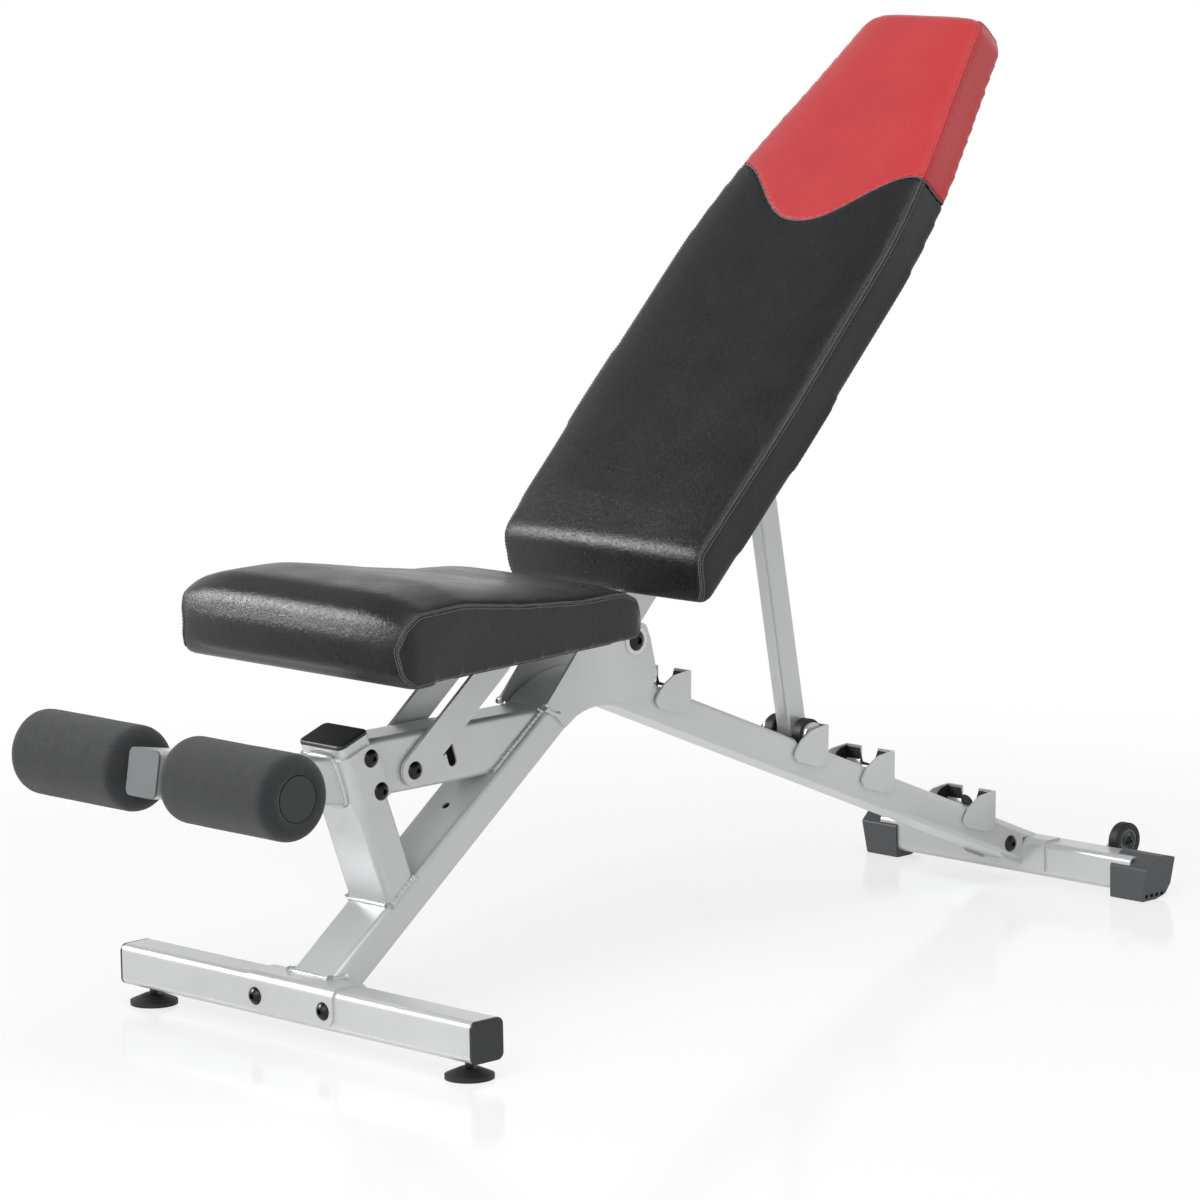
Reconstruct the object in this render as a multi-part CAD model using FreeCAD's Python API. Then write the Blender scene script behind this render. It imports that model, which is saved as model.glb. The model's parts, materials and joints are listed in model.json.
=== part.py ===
import FreeCAD, Part
import math
import os

# Decline sit-up bench. Millimetres, +Z up, floor at Z=0, +X towards the wheels,
# Y=0 the plane of symmetry. X is counted from the front floor tube.

V = FreeCAD.Vector

# ---------------------------------------------------------------- main sizes
cross_len = 616.0            # front floor tube, end to end
cross_sq = 50.0              # front floor tube, square side
cross_bottom = 23.0          # clearance under the front floor tube
tube_w = 76.0                # main tube, across the bench
tube_h = 43.0                # main tube, depth
tube_r = 8.0                 # outer corner radius of the tubes
wall = 2.5                   # tube wall
bend_r = 120.0               # centre line radius of the main tube bend
apex_x = 436.6               # where the two main tube centre lines cross
apex_z = 378.1
diag_deg = 37.5              # slope of the diagonal
spine_deg = 22.8             # fall of the rear spine
upright_deg = 20.0           # forward lean of the upright
upright_d = 48.0
upright_len = 214.0
clamp_bolt_lo = 142.0         # clamp bolts, up the upright
clamp_bolt_hi = 186.0
beam_w = 60.0
beam_h = 70.0
beam_top = 350.0
plate_t = 4.0
sheet_t = 3.0
pivot_x = 511.0              # main pivot
pivot_z = 414.0
back_deg = 45.4              # back rest slope as it stands
back_len = 893.0
back_w = 360.0               # back pad at its bottom
back_w_top = 196.0
back_pad_t = 46.0
back_heel = 37.0             # the pad's lower end is cut back by this
board_t = 10.0
back_tube_w = 50.0
back_tube_d = 50.0
tube_n = 16.0                # back tube's centre line, out from the pivot
seat_len = 432.0
seat_w = 406.0               # seat at the front
seat_w_rear = 314.0
seat_nose_x = -20.0
seat_board_z = 440.0
seat_board_t = 9.0
roller_x = -204.0            # leg roller axle
roller_z = 348.0
foam_r = 51.0
foam_in = 38.0
foam_out = 229.0
hook_x = (605.0, 849.0, 971.0, 1163.0)
hook_up = 34.0               # hook corner above the spine top
ring_r = 19.0                # rubber ring on the brace foot
brace_w = 24.0
brace_d = 32.0
rear_len = 440.0             # rear floor tube
rear_sq = 46.0
rear_x = 1246.0
rear_bottom = 9.0
wheel_r = 24.0
wheel_w = 16.0
wheel_x = 1298.0
wheel_z = 57.0
wheel_y = 146.0
foot_y = 280.0
strut_w = 38.0
strut_t = 5.0
bolt_r = 5.0
head_r = 11.0

# the bench is handed over centred on its length
origin_x = (roller_x - foam_r + wheel_x + wheel_r) / 2

# clearances
run = 0.05                   # radial play of a running fit
gap = 0.4                    # between parts that pass each other

# ------------------------------------------------------------------- helpers


def add(name, *shapes):
    os.makedirs("parts", exist_ok=True)
    body = Part.Compound(list(shapes)) if len(shapes) > 1 else shapes[0].copy()
    body.translate(V(-origin_x, 0, 0))
    body.exportStep("parts/" + name + ".step")


def unit(deg):
    return V(math.cos(math.radians(deg)), 0, math.sin(math.radians(deg)))


def box(x0, x1, y0, y1, z0, z1):
    return Part.makeBox(x1 - x0, y1 - y0, z1 - z0, V(x0, y0, z0))


def cyl(x, z, r, y0, y1):
    return Part.makeCylinder(r, y1 - y0, V(x, y0, z), V(0, 1, 0))


def rounded(points, radius):
    """Closed outline through the points, its corners rounded."""
    n = len(points)
    radii = radius if isinstance(radius, (list, tuple)) else [radius] * n
    edges = []
    ends = []
    for i in range(n):
        p = points[i]
        a = (points[i - 1] - p)
        b = (points[(i + 1) % n] - p)
        a.normalize()
        b.normalize()
        half = a.getAngle(b) / 2
        cut = radii[i] / math.tan(half) if radii[i] > 0 else 0
        bis = a + b
        start = p + a * cut
        end = p + b * cut
        mid = p
        if cut > 0:
            bis.normalize()
            centre = p + bis * (radii[i] / math.sin(half))
            mid = centre - bis * radii[i]
        ends.append((start, mid, end, cut))
    for i in range(n):
        start, mid, end, cut = ends[i]
        if cut > 0:
            edges.append(Part.Arc(start, mid, end).toShape())
        after = ends[(i + 1) % n][0]
        if end.distanceToPoint(after) > 1e-6:
            edges.append(Part.makeLine(end, after))
    return Part.Face(Part.Wire(edges))


def side(points, y0, y1, radius=0.0):
    """Outline in the XZ plane given a thickness across the bench."""
    face = rounded([V(x, y0, z) for x, z in points], radius)
    return face.extrude(V(0, y1 - y0, 0))


def plan(points, z0, z1, radius=0.0):
    face = rounded([V(x, y, z0) for x, y in points], radius)
    return face.extrude(V(0, 0, z1 - z0))


def front(points, x0, x1, radius=0.0):
    face = rounded([V(x0, y, z) for y, z in points], radius)
    return face.extrude(V(x1 - x0, 0, 0))


def bar(length, w, h, r):
    """Rounded bar along +X, centred on Y and Z."""
    pts = [(-w / 2, -h / 2), (w / 2, -h / 2), (w / 2, h / 2), (-w / 2, h / 2)]
    return front(pts, 0, length, r)


def tube(length, w, h, r, t):
    inner = bar(length + 2, w - 2 * t, h - 2 * t, max(r - t, 0.5))
    inner.translate(V(-1, 0, 0))
    return bar(length, w, h, r).cut(inner)


def place(shape, x, z, deg):
    """Turn a part lying along +X to a slope, then move it."""
    s = shape.copy()
    s.rotate(V(0, 0, 0), V(0, 1, 0), -deg)
    s.translate(V(x, 0, z))
    return s


def mirror_y(shape):
    return shape.mirror(V(0, 0, 0), V(0, 1, 0))


def both(name, shape):
    """The -Y part is the left one, its mirror image the right one."""
    add(name + "_left", shape)
    add(name + "_right", mirror_y(shape))


def dome(r, h):
    """Button head standing on Z=0 with a hexagon socket."""
    big = (r * r + h * h) / (2 * h)
    ball = Part.makeSphere(big, V(0, 0, h - big))
    body = Part.makeCylinder(r, h).common(ball)
    hexa = [(0.34 * r * math.cos(a * math.pi / 3), 0.34 * r * math.sin(a * math.pi / 3))
            for a in range(6)]
    return body.cut(plan(hexa, 0.45 * h, h + 1))


def bolt(r, length, rh=head_r, h=6.0, nut=True):
    """Bolt along +Z: head under Z=0, shank to the length, nut at the end."""
    head = dome(rh, h)
    head.rotate(V(0, 0, 0), V(1, 0, 0), 180)
    b = head.fuse(Part.makeCylinder(r, length))
    if nut:
        hexa = [(1.75 * r * math.cos(a * math.pi / 3), 1.75 * r * math.sin(a * math.pi / 3))
                for a in range(6)]
        b = b.fuse(plan(hexa, length, length + 1.5 * r))
        tip = Part.makeCylinder(r, 1.5 * r + 2, V(0, 0, length))
        b = b.fuse(tip)
    return b.removeSplitter()


def across(b, x, z, y0):
    """Lay a bolt along +Y with its head seat at y0."""
    s = b.copy()
    s.rotate(V(0, 0, 0), V(1, 0, 0), -90)
    s.translate(V(x, y0, z))
    return s


# ---------------------------------------------------------- front floor tube
cross_top = cross_bottom + cross_sq
cross_mid = cross_bottom + cross_sq / 2
saddle_w = 153.0
saddle_bolt_y = 60.0
stud_r = 5.0
stud_top = 42.0

raw = tube(cross_len, cross_sq, cross_sq, tube_r + 1, wall)
raw.rotate(V(0, 0, 0), V(0, 0, 1), 90)
raw.translate(V(0, -cross_len / 2, cross_mid))
for s in (-1, 1):
    hexa = [(9 * math.cos(a * math.pi / 3), s * foot_y + 9 * math.sin(a * math.pi / 3))
            for a in range(6)]
    nut = plan(hexa, cross_bottom + wall - 0.5, cross_bottom + wall + 8)
    raw = raw.fuse(nut)
raw = raw.removeSplitter()
for s in (-1, 1):
    raw = raw.cut(Part.makeCylinder(stud_r + run, 40, V(0, s * foot_y, cross_bottom - 5)))
    hole = Part.makeCylinder(bolt_r + run, 120, V(-60, s * saddle_bolt_y, cross_mid), V(1, 0, 0))
    raw = raw.cut(hole)
add("front_cross_tube", raw)

cap_t = 3.0
plug = cross_sq - 2 * wall
lid = bar(cap_t, cross_sq, cross_sq, tube_r + 1)
ring = tube(16.0, plug, plug, tube_r + 1 - wall, 2.0)
ring.translate(V(-16.0, 0, 0))
cap = lid.fuse(ring)
cap.rotate(V(0, 0, 0), V(0, 0, 1), -90)
cap.translate(V(0, -cross_len / 2, cross_mid))
both("front_end_cap", cap)

outer_s = cross_sq / 2 + sheet_t
sad = bar(saddle_w, cross_sq + 2 * sheet_t, cross_sq + 2 * sheet_t, tube_r + 1 + sheet_t)
sad = sad.cut(bar(saddle_w, cross_sq, cross_sq, tube_r + 1))
sad.rotate(V(0, 0, 0), V(0, 0, 1), 90)
sad.translate(V(0, -saddle_w / 2, cross_mid))
sad = sad.cut(box(-60, 60, -100, 100, 0, cross_bottom + 9))
for s in (-1, 1):
    hole = Part.makeCylinder(bolt_r + run, 120, V(-60, s * saddle_bolt_y, cross_mid), V(1, 0, 0))
    sad = sad.cut(hole)
    for sx in (-1, 1):
        corner = box(sx * outer_s - 4, sx * outer_s + 4, s * saddle_w / 2 - 10,
                     s * saddle_w / 2 + 10, cross_bottom, cross_bottom + 19)
        disc = Part.makeCylinder(10, 10, V(sx * outer_s - 5, s * (saddle_w / 2 - 10),
                                           cross_bottom + 19), V(1, 0, 0))
        sad = sad.cut(corner.cut(disc))
add("front_saddle", sad)

bolts = []
for s in (-1, 1):
    b = bolt(bolt_r, 2 * outer_s)
    b.rotate(V(0, 0, 0), V(0, 1, 0), 90)
    b.translate(V(-outer_s, s * saddle_bolt_y, cross_mid))
    bolts.append(b)
add("front_saddle_bolts", *bolts)

foot_r = 29.0
rim = Part.makeCylinder(foot_r, 5.0)
cone = Part.makeCone(foot_r, 11.0, 8.0, V(0, 0, 5.0))
stud = Part.makeCylinder(stud_r, stud_top - 13.0, V(0, 0, 13.0))
foot = rim.fuse(cone).fuse(stud).removeSplitter()
foot.translate(V(0, -foot_y, 0))
both("level_foot", foot)

# ---------------------------------------------------------------- main frame
half = math.radians((diag_deg + spine_deg) / 2)
reach = bend_r * math.tan(half)
du = unit(diag_deg)
dn = V(-du.z, 0, du.x)
su = unit(-spine_deg)
sn = V(-su.z, 0, su.x)
apex = V(apex_x, 0, apex_z)
diag_end = apex - du * reach
spine_start = apex + su * reach
bend_c = diag_end - dn * bend_r

diag_len = 520.0
diag = tube(diag_len, tube_w, tube_h, tube_r, wall)
diag.translate(V(-diag_len, 0, 0))
diag = place(diag, diag_end.x, diag_end.z, diag_deg)
diag = diag.cut(box(-outer_s, outer_s, -100, 100, 0, cross_top + sheet_t))
diag = diag.cut(box(-300, -outer_s, -100, 100, -300, 300))
foot_cut = box(-300, 300, -100, 100, -300, cross_bottom + 12)
diag = diag.cut(foot_cut)
diag = max(diag.Solids, key=lambda q: q.Volume)
vent = Part.makeCylinder(5.0, 40, V(0, 0, 0), dn)
vent.translate(apex - du * 245 + dn * 5)
diag = diag.cut(vent)
add("diagonal_tube", diag)

spine_end_x = rear_x - 8
spine_len = (spine_end_x - spine_start.x) / math.cos(math.radians(spine_deg)) + 40


def spine_top(x):
    """Height of the top face of the spine."""
    top = spine_start + sn * (tube_h / 2)
    return top.z - (x - top.x) * math.tan(math.radians(spine_deg))


def bend_piece(w, h, r):
    """Elbow swept round the bend centre from the diagonal to the spine."""
    sec = bar(0.001, w, h, r)
    face = sorted(sec.Faces, key=lambda f: f.CenterOfMass.x)[0]
    f = face.copy()
    f.rotate(V(0, 0, 0), V(0, 1, 0), -diag_deg)
    f.translate(diag_end)
    return f.revolve(bend_c, V(0, 1, 0), diag_deg + spine_deg)


elbow = bend_piece(tube_w, tube_h, tube_r)
elbow = elbow.cut(bend_piece(tube_w - 2 * wall, tube_h - 2 * wall, tube_r - wall))
run_tube = tube(spine_len, tube_w, tube_h, tube_r, wall)
run_tube = place(run_tube, spine_start.x, spine_start.z, -spine_deg)
spine = elbow.fuse(run_tube).removeSplitter()

hook_w = tube_w / 2 + 1.5
floor_r = ring_r + gap
rest = []
for hx in hook_x:
    corner_z = spine_top(hx) + hook_up
    rest.append((hx - sheet_t - ring_r - gap, corner_z - 10.0))
for cx, cz in rest:
    notch = cyl(cx, cz, floor_r + sheet_t, -50, 50)
    lead_in = su * -11.0
    notch = notch.fuse(cyl(cx + lead_in.x, cz + lead_in.z, floor_r + sheet_t, -50, 50))
    notch = notch.fuse(box(cx, cx + floor_r + sheet_t, -50, 50, cz, cz + 60))
    spine = spine.cut(notch)

rear_mid = rear_bottom + rear_sq / 2
rs_out = rear_sq / 2 + sheet_t
rear_env = box(rear_x - rs_out, rear_x + 200, -60, 60, -200, rear_bottom + rear_sq + sheet_t)
spine = spine.cut(rear_env)
mitre = [(rear_x + 6, 300), (rear_x + 6, spine_top(rear_x + 6) - 3), (rear_x - 40, 16),
         (rear_x - 40, -200), (rear_x + 300, -200), (rear_x + 300, 300)]
spine = spine.cut(side(mitre, -60, 60))
rear_bolt_x = 1196.0
rear_bolt_z = 54.0
spine = spine.cut(cyl(rear_bolt_x, rear_bolt_z, bolt_r + run, -80, 80))
spine = max(spine.Solids, key=lambda q: q.Volume)

# the rear saddle's two ears pass up through the spine's underside
ear_y = tube_w / 2 - wall
rear_ears = []
for s in (-1, 1):
    y0 = min(s * ear_y, s * (ear_y - sheet_t))
    ear = side([(rear_x - rs_out - 44, 50), (rear_x - rs_out - 34, 36), (rear_x - rs_out, 22),
                (rear_x - rs_out, 52), (rear_x - rs_out - 38, 68)], y0, y0 + sheet_t,
               [4, 4, 0, 0, 4])
    rear_ears.append(ear)
    spine = spine.cut(ear)
spine = max(spine.Solids, key=lambda q: q.Volume)
add("spine_tube", spine)

# -------------------------------------------------------------------- hooks
for i, hx in enumerate(hook_x):
    cx, cz = rest[i]
    top = spine_top(hx) + hook_up
    out = [(hx, top), (hx - 1, top - 38), (hx - 6, top - 50), (hx - 20, top - 52),
           (hx - 56, top - 40), (hx - 62, top - 30), (hx - 50, top - 14), (hx - 30, top - 3)]
    body = None
    for s in (-1, 1):
        y0 = min(s * hook_w, s * (hook_w + sheet_t))
        p = side(out, y0, y0 + sheet_t, [3, 5, 6, 8, 6, 8, 30, 20])
        lip = side([(hx - 4, top - 44), (hx - 6, top - 50), (hx - 20, top - 52),
                    (hx - 56, top - 40), (hx - 60, top - 33), (hx - 53, top - 33),
                    (hx - 20, top - 44)], min(s * tube_w / 2, s * hook_w),
                   max(s * tube_w / 2, s * hook_w), 0)
        p = p.fuse(lip)
        body = p if body is None else body.fuse(p)
    back = box(hx - sheet_t, hx, -hook_w - sheet_t, hook_w + sheet_t, cz, top)
    back = back.cut(side([(hx + 5, top + 5), (hx + 5, top - 3), (hx - 9, top - 3)], -1, 1))
    saddle = cyl(cx, cz, floor_r + sheet_t, -tube_w / 2, tube_w / 2)
    saddle = saddle.cut(cyl(cx, cz, floor_r, -60, 60))
    saddle = saddle.cut(box(cx - 60, cx + 60, -60, 60, cz, cz + 60))
    lead = side([(cx - 60, cz - 15), (cx, cz - 15), (cx, cz + 40), (cx - 60, cz + 40)], -60, 60)
    saddle = saddle.cut(lead)
    body = body.fuse(back).fuse(saddle)
    slot = box(hx - 10, hx + 5, -15, 15, top - 14, top + 5)
    slot = slot.fuse(Part.makeCylinder(15, 15, V(hx - 10, 0, top - 14), V(1, 0, 0)))
    body = body.cut(slot).removeSplitter()
    add("hook_%d" % (i + 1), body)

# ------------------------------------------------------------ gusset plates
arc_in = 105.0
pts = []
for deg in (128, 116, 104, 92, 80, 70):
    a = math.radians(deg)
    pts.append((bend_c.x + arc_in * math.cos(a), bend_c.z + arc_in * math.sin(a)))
outline = [(358, 354)] + pts + [(530, 342), (547, 366), (542, 388), (536, 414), (529, 432),
                                (511, 439), (492, 434), (445, 428), (414, 415)]
gus = side(outline, -tube_w / 2 - plate_t, -tube_w / 2, [3] + [0] * 6 + [4, 8, 30, 12, 10, 12,
                                                        8, 20, 8])
gus = gus.cut(cyl(pivot_x, pivot_z, 8.0 + run, -60, 60))
both("gusset", gus)

# ------------------------------------------------------- upright, seat beam
up = unit(90 + upright_deg)
up_base = V(126.0, 0, 152.0)
upright = tube(upright_len + 80, tube_w, upright_d, tube_r, wall)
upright.translate(V(-80, 0, 0))
upright = place(upright, up_base.x, up_base.z, 90 + upright_deg)
below = place(box(-900, 900, -100, 100, -700, tube_h / 2), diag_end.x, diag_end.z, diag_deg)
upright = upright.cut(below)
ub1 = up_base + up * clamp_bolt_lo
ub2 = up_base + up * clamp_bolt_hi
side_x = V(up.z, 0, -up.x)
clamp_pts = []
for at in (ub1, ub2):
    q = at + side_x * 12
    clamp_pts.append(q)
    upright = upright.cut(cyl(q.x, q.z, bolt_r + run, -80, 80))
add("upright_tube", upright)

cap_bar = bar(5.0, tube_w, upright_d, tube_r)
edge = [e for e in cap_bar.Edges if e.BoundBox.XMin > 4.9]
cap_bar = cap_bar.makeFillet(3.0, edge)
cap_plug = tube(14.0, tube_w - 2 * wall, upright_d - 2 * wall, tube_r - wall, 2.0)
cap_plug.translate(V(-14, 0, 0))
top_at = up_base + up * upright_len
add("upright_cap", place(cap_bar.fuse(cap_plug), top_at.x, top_at.z, 90 + upright_deg))

beam = tube(500, beam_w, beam_h, tube_r, wall)
beam.translate(V(0, 0, beam_top - beam_h / 2))
behind = place(box(-900, 900, -100, 100, -900, tube_h / 2), diag_end.x, diag_end.z, diag_deg)
ahead = box(-600, 600, -100, 100, -upright_d / 2, 600)
ahead = place(ahead, up_base.x, up_base.z, 90 + upright_deg)
beam = beam.cut(behind).cut(ahead)
beam = beam.cut(Part.makeCylinder(bend_r + tube_h / 2, 200, V(bend_c.x, -100, bend_c.z), V(0, 1, 0)))
beam = max(beam.Solids, key=lambda q: q.Volume)

# guide slot for the seat struts: a straight leg, then a notch falling from its end
pin_r = 6.0
slot_r = pin_r + 0.6
pin_a = V(148.0, 0, 305.0)
pin_b = V(208.0, 0, 324.5)
pin_c = V(214.0, 0, 306.0)


def stadium(p, q, r):
    d = q - p
    d.normalize()
    n = V(-d.z, 0, d.x)
    quad = [(v.x, v.z) for v in (p + n * r, p - n * r, q - n * r, q + n * r)]
    s = side(quad, -60, 60)
    return s.fuse(cyl(p.x, p.z, r, -60, 60)).fuse(cyl(q.x, q.z, r, -60, 60))


beam = beam.cut(stadium(pin_a, pin_b, slot_r)).cut(stadium(pin_b, pin_c, slot_r))
add("seat_beam", beam)

# ------------------------------------------------------------- leg hold-down
cl_lo = clamp_bolt_lo - 20.0
cl_hi = clamp_bolt_hi + 16.0
cw = tube_w / 2 + plate_t
clamp = box(cl_lo, cl_hi, -cw, cw, -upright_d / 2, upright_d / 2 + plate_t)
long_edges = [e for e in clamp.Edges if e.BoundBox.ZMin > upright_d / 2
              and e.BoundBox.XLength > cl_hi - cl_lo - 1]
clamp = clamp.makeFillet(tube_r + plate_t, long_edges)
clamp = clamp.cut(bar(400, tube_w, upright_d, tube_r))
trim = [(cl_lo - 1, -upright_d), (cl_lo + 14, -upright_d), (cl_lo - 1, upright_d)]
clamp = clamp.cut(side(trim, -100, 100))
for s in (-1, 1):
    for at, sgn in ((cl_lo, 1), (cl_hi, -1)):
        sq = box(min(at, at + sgn * 12), max(at, at + sgn * 12), -60, 60, -upright_d / 2,
                 -upright_d / 2 + 12)
        rnd = cyl(at + sgn * 12, -upright_d / 2 + 12, 12, -60, 60)
        clamp = clamp.cut(sq.cut(rnd))
clamp = place(clamp, up_base.x, up_base.z, 90 + upright_deg)
for q in clamp_pts:
    clamp = clamp.cut(cyl(q.x, q.z, bolt_r + run, -80, 80))
clamp = max(clamp.Solids, key=lambda q: q.Volume)
add("leg_clamp", clamp)
add("clamp_bolts", *[across(bolt(bolt_r, 2 * cw), q.x, q.z, -cw) for q in clamp_pts])

arm_h = 56.0
arm_w = 52.0
arm_end = V(-236.0, 0, 354.0)
arm_deg = 170.0
au = unit(arm_deg)
arm_len = 330.0
arm = tube(arm_len, arm_w, arm_h, tube_r, wall)
arm.translate(V(-arm_len, 0, 0))
arm = place(arm, arm_end.x, arm_end.z, arm_deg)
keep = box(-900, 900, -100, 100, upright_d / 2 + plate_t, 900)
keep = place(keep, up_base.x, up_base.z, 90 + upright_deg)
arm = arm.common(keep)
axle_r = 12.5
arm = arm.cut(cyl(roller_x, roller_z, axle_r, -80, 80))
add("leg_arm", arm)
arm_lid = bar(3.0, arm_w, arm_h, tube_r)
arm_plug = tube(14.0, arm_w - 2 * wall, arm_h - 2 * wall, tube_r - wall, 2.0)
arm_plug.translate(V(-14.0, 0, 0))
add("leg_arm_cap", place(arm_lid.fuse(arm_plug), arm_end.x, arm_end.z, arm_deg))

axle = cyl(roller_x, roller_z, axle_r, -foam_out + 7, foam_out - 7)
add("roller_axle", axle.cut(cyl(roller_x, roller_z, axle_r - 1.8, -foam_out, foam_out)))
core_r = axle_r + 3.0
core = cyl(roller_x, roller_z, core_r, -foam_out + 6, -foam_in + 4)
core = core.cut(cyl(roller_x, roller_z, axle_r + run, -foam_out, -foam_in + 5))
both("roller_core", core)
foam = cyl(roller_x, roller_z, foam_r, -foam_out, -foam_in)
foam = foam.cut(cyl(roller_x, roller_z, core_r, -foam_out - 1, -foam_in + 1))
rims = [e for e in foam.Edges if abs(e.Length - 2 * math.pi * foam_r) < 1]
foam = foam.makeFillet(12.0, rims)
foam = foam.cut(cyl(roller_x, roller_z, 27.0, -foam_out, -foam_out + 6))
both("foam_roller", foam)
end = cyl(roller_x, roller_z, 26.5, -foam_out + 1, -foam_out + 5.4)
end = end.fuse(cyl(roller_x, roller_z, core_r, -foam_out + 5, -foam_out + 6))
both("roller_cap", end)

# ----------------------------------------------------------------- rear feet
rt = tube(rear_len, rear_sq, rear_sq, tube_r, wall)
rt.rotate(V(0, 0, 0), V(0, 0, 1), 90)
rt.translate(V(rear_x, -rear_len / 2, rear_mid))
add("rear_cross_tube", rt)

rsad_w = 150.0
rs = bar(rsad_w, rear_sq + 2 * sheet_t, rear_sq + 2 * sheet_t, tube_r + sheet_t)
rs = rs.cut(bar(rsad_w, rear_sq, rear_sq, tube_r))
rs.rotate(V(0, 0, 0), V(0, 0, 1), 90)
rs.translate(V(rear_x, -rsad_w / 2, rear_mid))
rs = rs.cut(box(rear_x - 100, rear_x + 100, -100, 100, -50, rear_bottom + 8))
rs = rs.cut(box(rear_x + 6, rear_x + 100, -100, 100, -50, 100))
for ear in rear_ears:
    rs = rs.fuse(ear.cut(cyl(rear_bolt_x, rear_bolt_z, bolt_r + run, -80, 80)))
rs = rs.removeSplitter()
add("rear_saddle", rs)
add("rear_bolt", across(bolt(bolt_r, tube_w), rear_bolt_x, rear_bolt_z, -tube_w / 2))

boot_in = 189.0
boot_out = 256.0
bx0 = rear_x - rear_sq / 2 - 3
bx1 = rear_x + rear_sq / 2 + 4
bz1 = rear_bottom + rear_sq + 4
prof = [(bx0, 0), (bx1 - 24, 0), (bx1 - 7, 5), (bx1, 18), (bx1, bz1 - 5), (bx1 - 20, bz1),
        (bx0 + 22, bz1), (bx0, bz1 - 16)]
boot = side(prof, -boot_out, -boot_in, [3, 10, 6, 6, 3, 4, 4, 4])
rake = 15.0
wedge = front([(-boot_out - 20, -5), (-boot_out + rake, -5), (-boot_out, bz1 + 5),
               (-boot_out - 20, bz1 + 5)], bx0 - 10, bx1 + 10)
boot = boot.cut(wedge)
socket = bar(rear_len, rear_sq, rear_sq, tube_r)
socket.rotate(V(0, 0, 0), V(0, 0, 1), 90)
socket.translate(V(rear_x, -rear_len / 2, rear_mid))
boot = boot.cut(socket)
for k in range(4):
    x0 = bx0 + 6 + k * 10
    boot = boot.cut(box(x0, x0 + 6, -boot_out, -boot_out + rake + 4, 4, 9))
both("rear_boot", boot)

wb = []
tx = rear_x + rear_sq / 2
brk_t = 4.0
tab_z0 = rear_mid - 12
tab_z1 = rear_mid + 14
axle_y0 = -wheel_y - wheel_w / 2 - 1
tri = side([(tx, tab_z0), (tx, tab_z1), (wheel_x, wheel_z + 9), (wheel_x + 9, wheel_z),
            (wheel_x, wheel_z - 9)], axle_y0 + wheel_w + 2, axle_y0 + wheel_w + 2 + brk_t,
           [0, 0, 6, 6, 6])
tri = tri.cut(cyl(wheel_x, wheel_z, 4.0 + run, -200, 200))
both("wheel_bracket", tri)
tyre = cyl(wheel_x, wheel_z, wheel_r, -wheel_y - wheel_w / 2, -wheel_y + wheel_w / 2)
rim_e = [e for e in tyre.Edges if abs(e.Length - 2 * math.pi * wheel_r) < 1]
tyre = tyre.makeFillet(3.0, rim_e)
hub_r = 16.0
tyre = tyre.cut(cyl(wheel_x, wheel_z, hub_r, -200, 0))
both("wheel_tyre", tyre)
hub = cyl(wheel_x, wheel_z, hub_r, -wheel_y - wheel_w / 2 + 1, -wheel_y + wheel_w / 2 - 1)
dish = cyl(wheel_x, wheel_z, hub_r - 3, -wheel_y - wheel_w / 2, -wheel_y - wheel_w / 2 + 4)
dish = dish.cut(cyl(wheel_x, wheel_z, 7, -200, 0))
hub = hub.cut(dish).cut(cyl(wheel_x, wheel_z, 4.0 + run, -200, 0))
both("wheel_hub", hub)
ax = bolt(4.0, wheel_w + 2 + brk_t, 7.0, 4.0)
left_axle = across(ax, wheel_x, wheel_z, axle_y0)
add("wheel_axles", left_axle, mirror_y(left_axle))

# ---------------------------------------------------------------- main pivot
piv_r = 8.0
add("pivot_bolt", across(bolt(piv_r, tube_w + 2 * plate_t, 14.0, 7.0), pivot_x, pivot_z,
                         -tube_w / 2 - plate_t))

# ------------------------------------------------------------------ the seat
rail_out = beam_w / 2
rail_in = rail_out - 4.0
pad_pts = [(-20, 486), (-12, 512), (14, 526), (90, 527), (200, 512), (300, 503), (392, 503),
           (420, 492), (428, 466), (420, 449), (150, 449), (66, 449), (40, 441), (4, 438),
           (-16, 452)]
base_z = seat_board_z + seat_board_t
scale_x = seat_len / 448.0
pts = [(seat_nose_x + (x + 20) * scale_x, z) for x, z in pad_pts]
pad = side(pts, -seat_w / 2, seat_w / 2, [20, 16, 12, 60, 80, 60, 14, 10, 10, 10, 0, 6, 8, 14,
                                          10])
nose = seat_nose_x
tail = seat_nose_x + seat_len
shape2d = [(nose - 1, -seat_w / 2), (tail, -seat_w_rear / 2), (tail, seat_w_rear / 2),
           (nose - 1, seat_w / 2)]
pad = pad.common(plan(shape2d, 400, 560, [34, 30, 30, 34]))
add("seat_pad", pad)
b0 = seat_nose_x + 90
b1 = tail - 34
inset = 14.0


def seat_half(x):
    f = (x - nose) / (tail - nose)
    return (seat_w + (seat_w_rear - seat_w) * f) / 2


sb = plan([(b0, -seat_half(b0) + inset), (b1, -seat_half(b1) + inset),
           (b1, seat_half(b1) - inset), (b0, seat_half(b0) - inset)],
          seat_board_z, base_z, [20, 20, 20, 20])
add("seat_board", sb)

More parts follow.
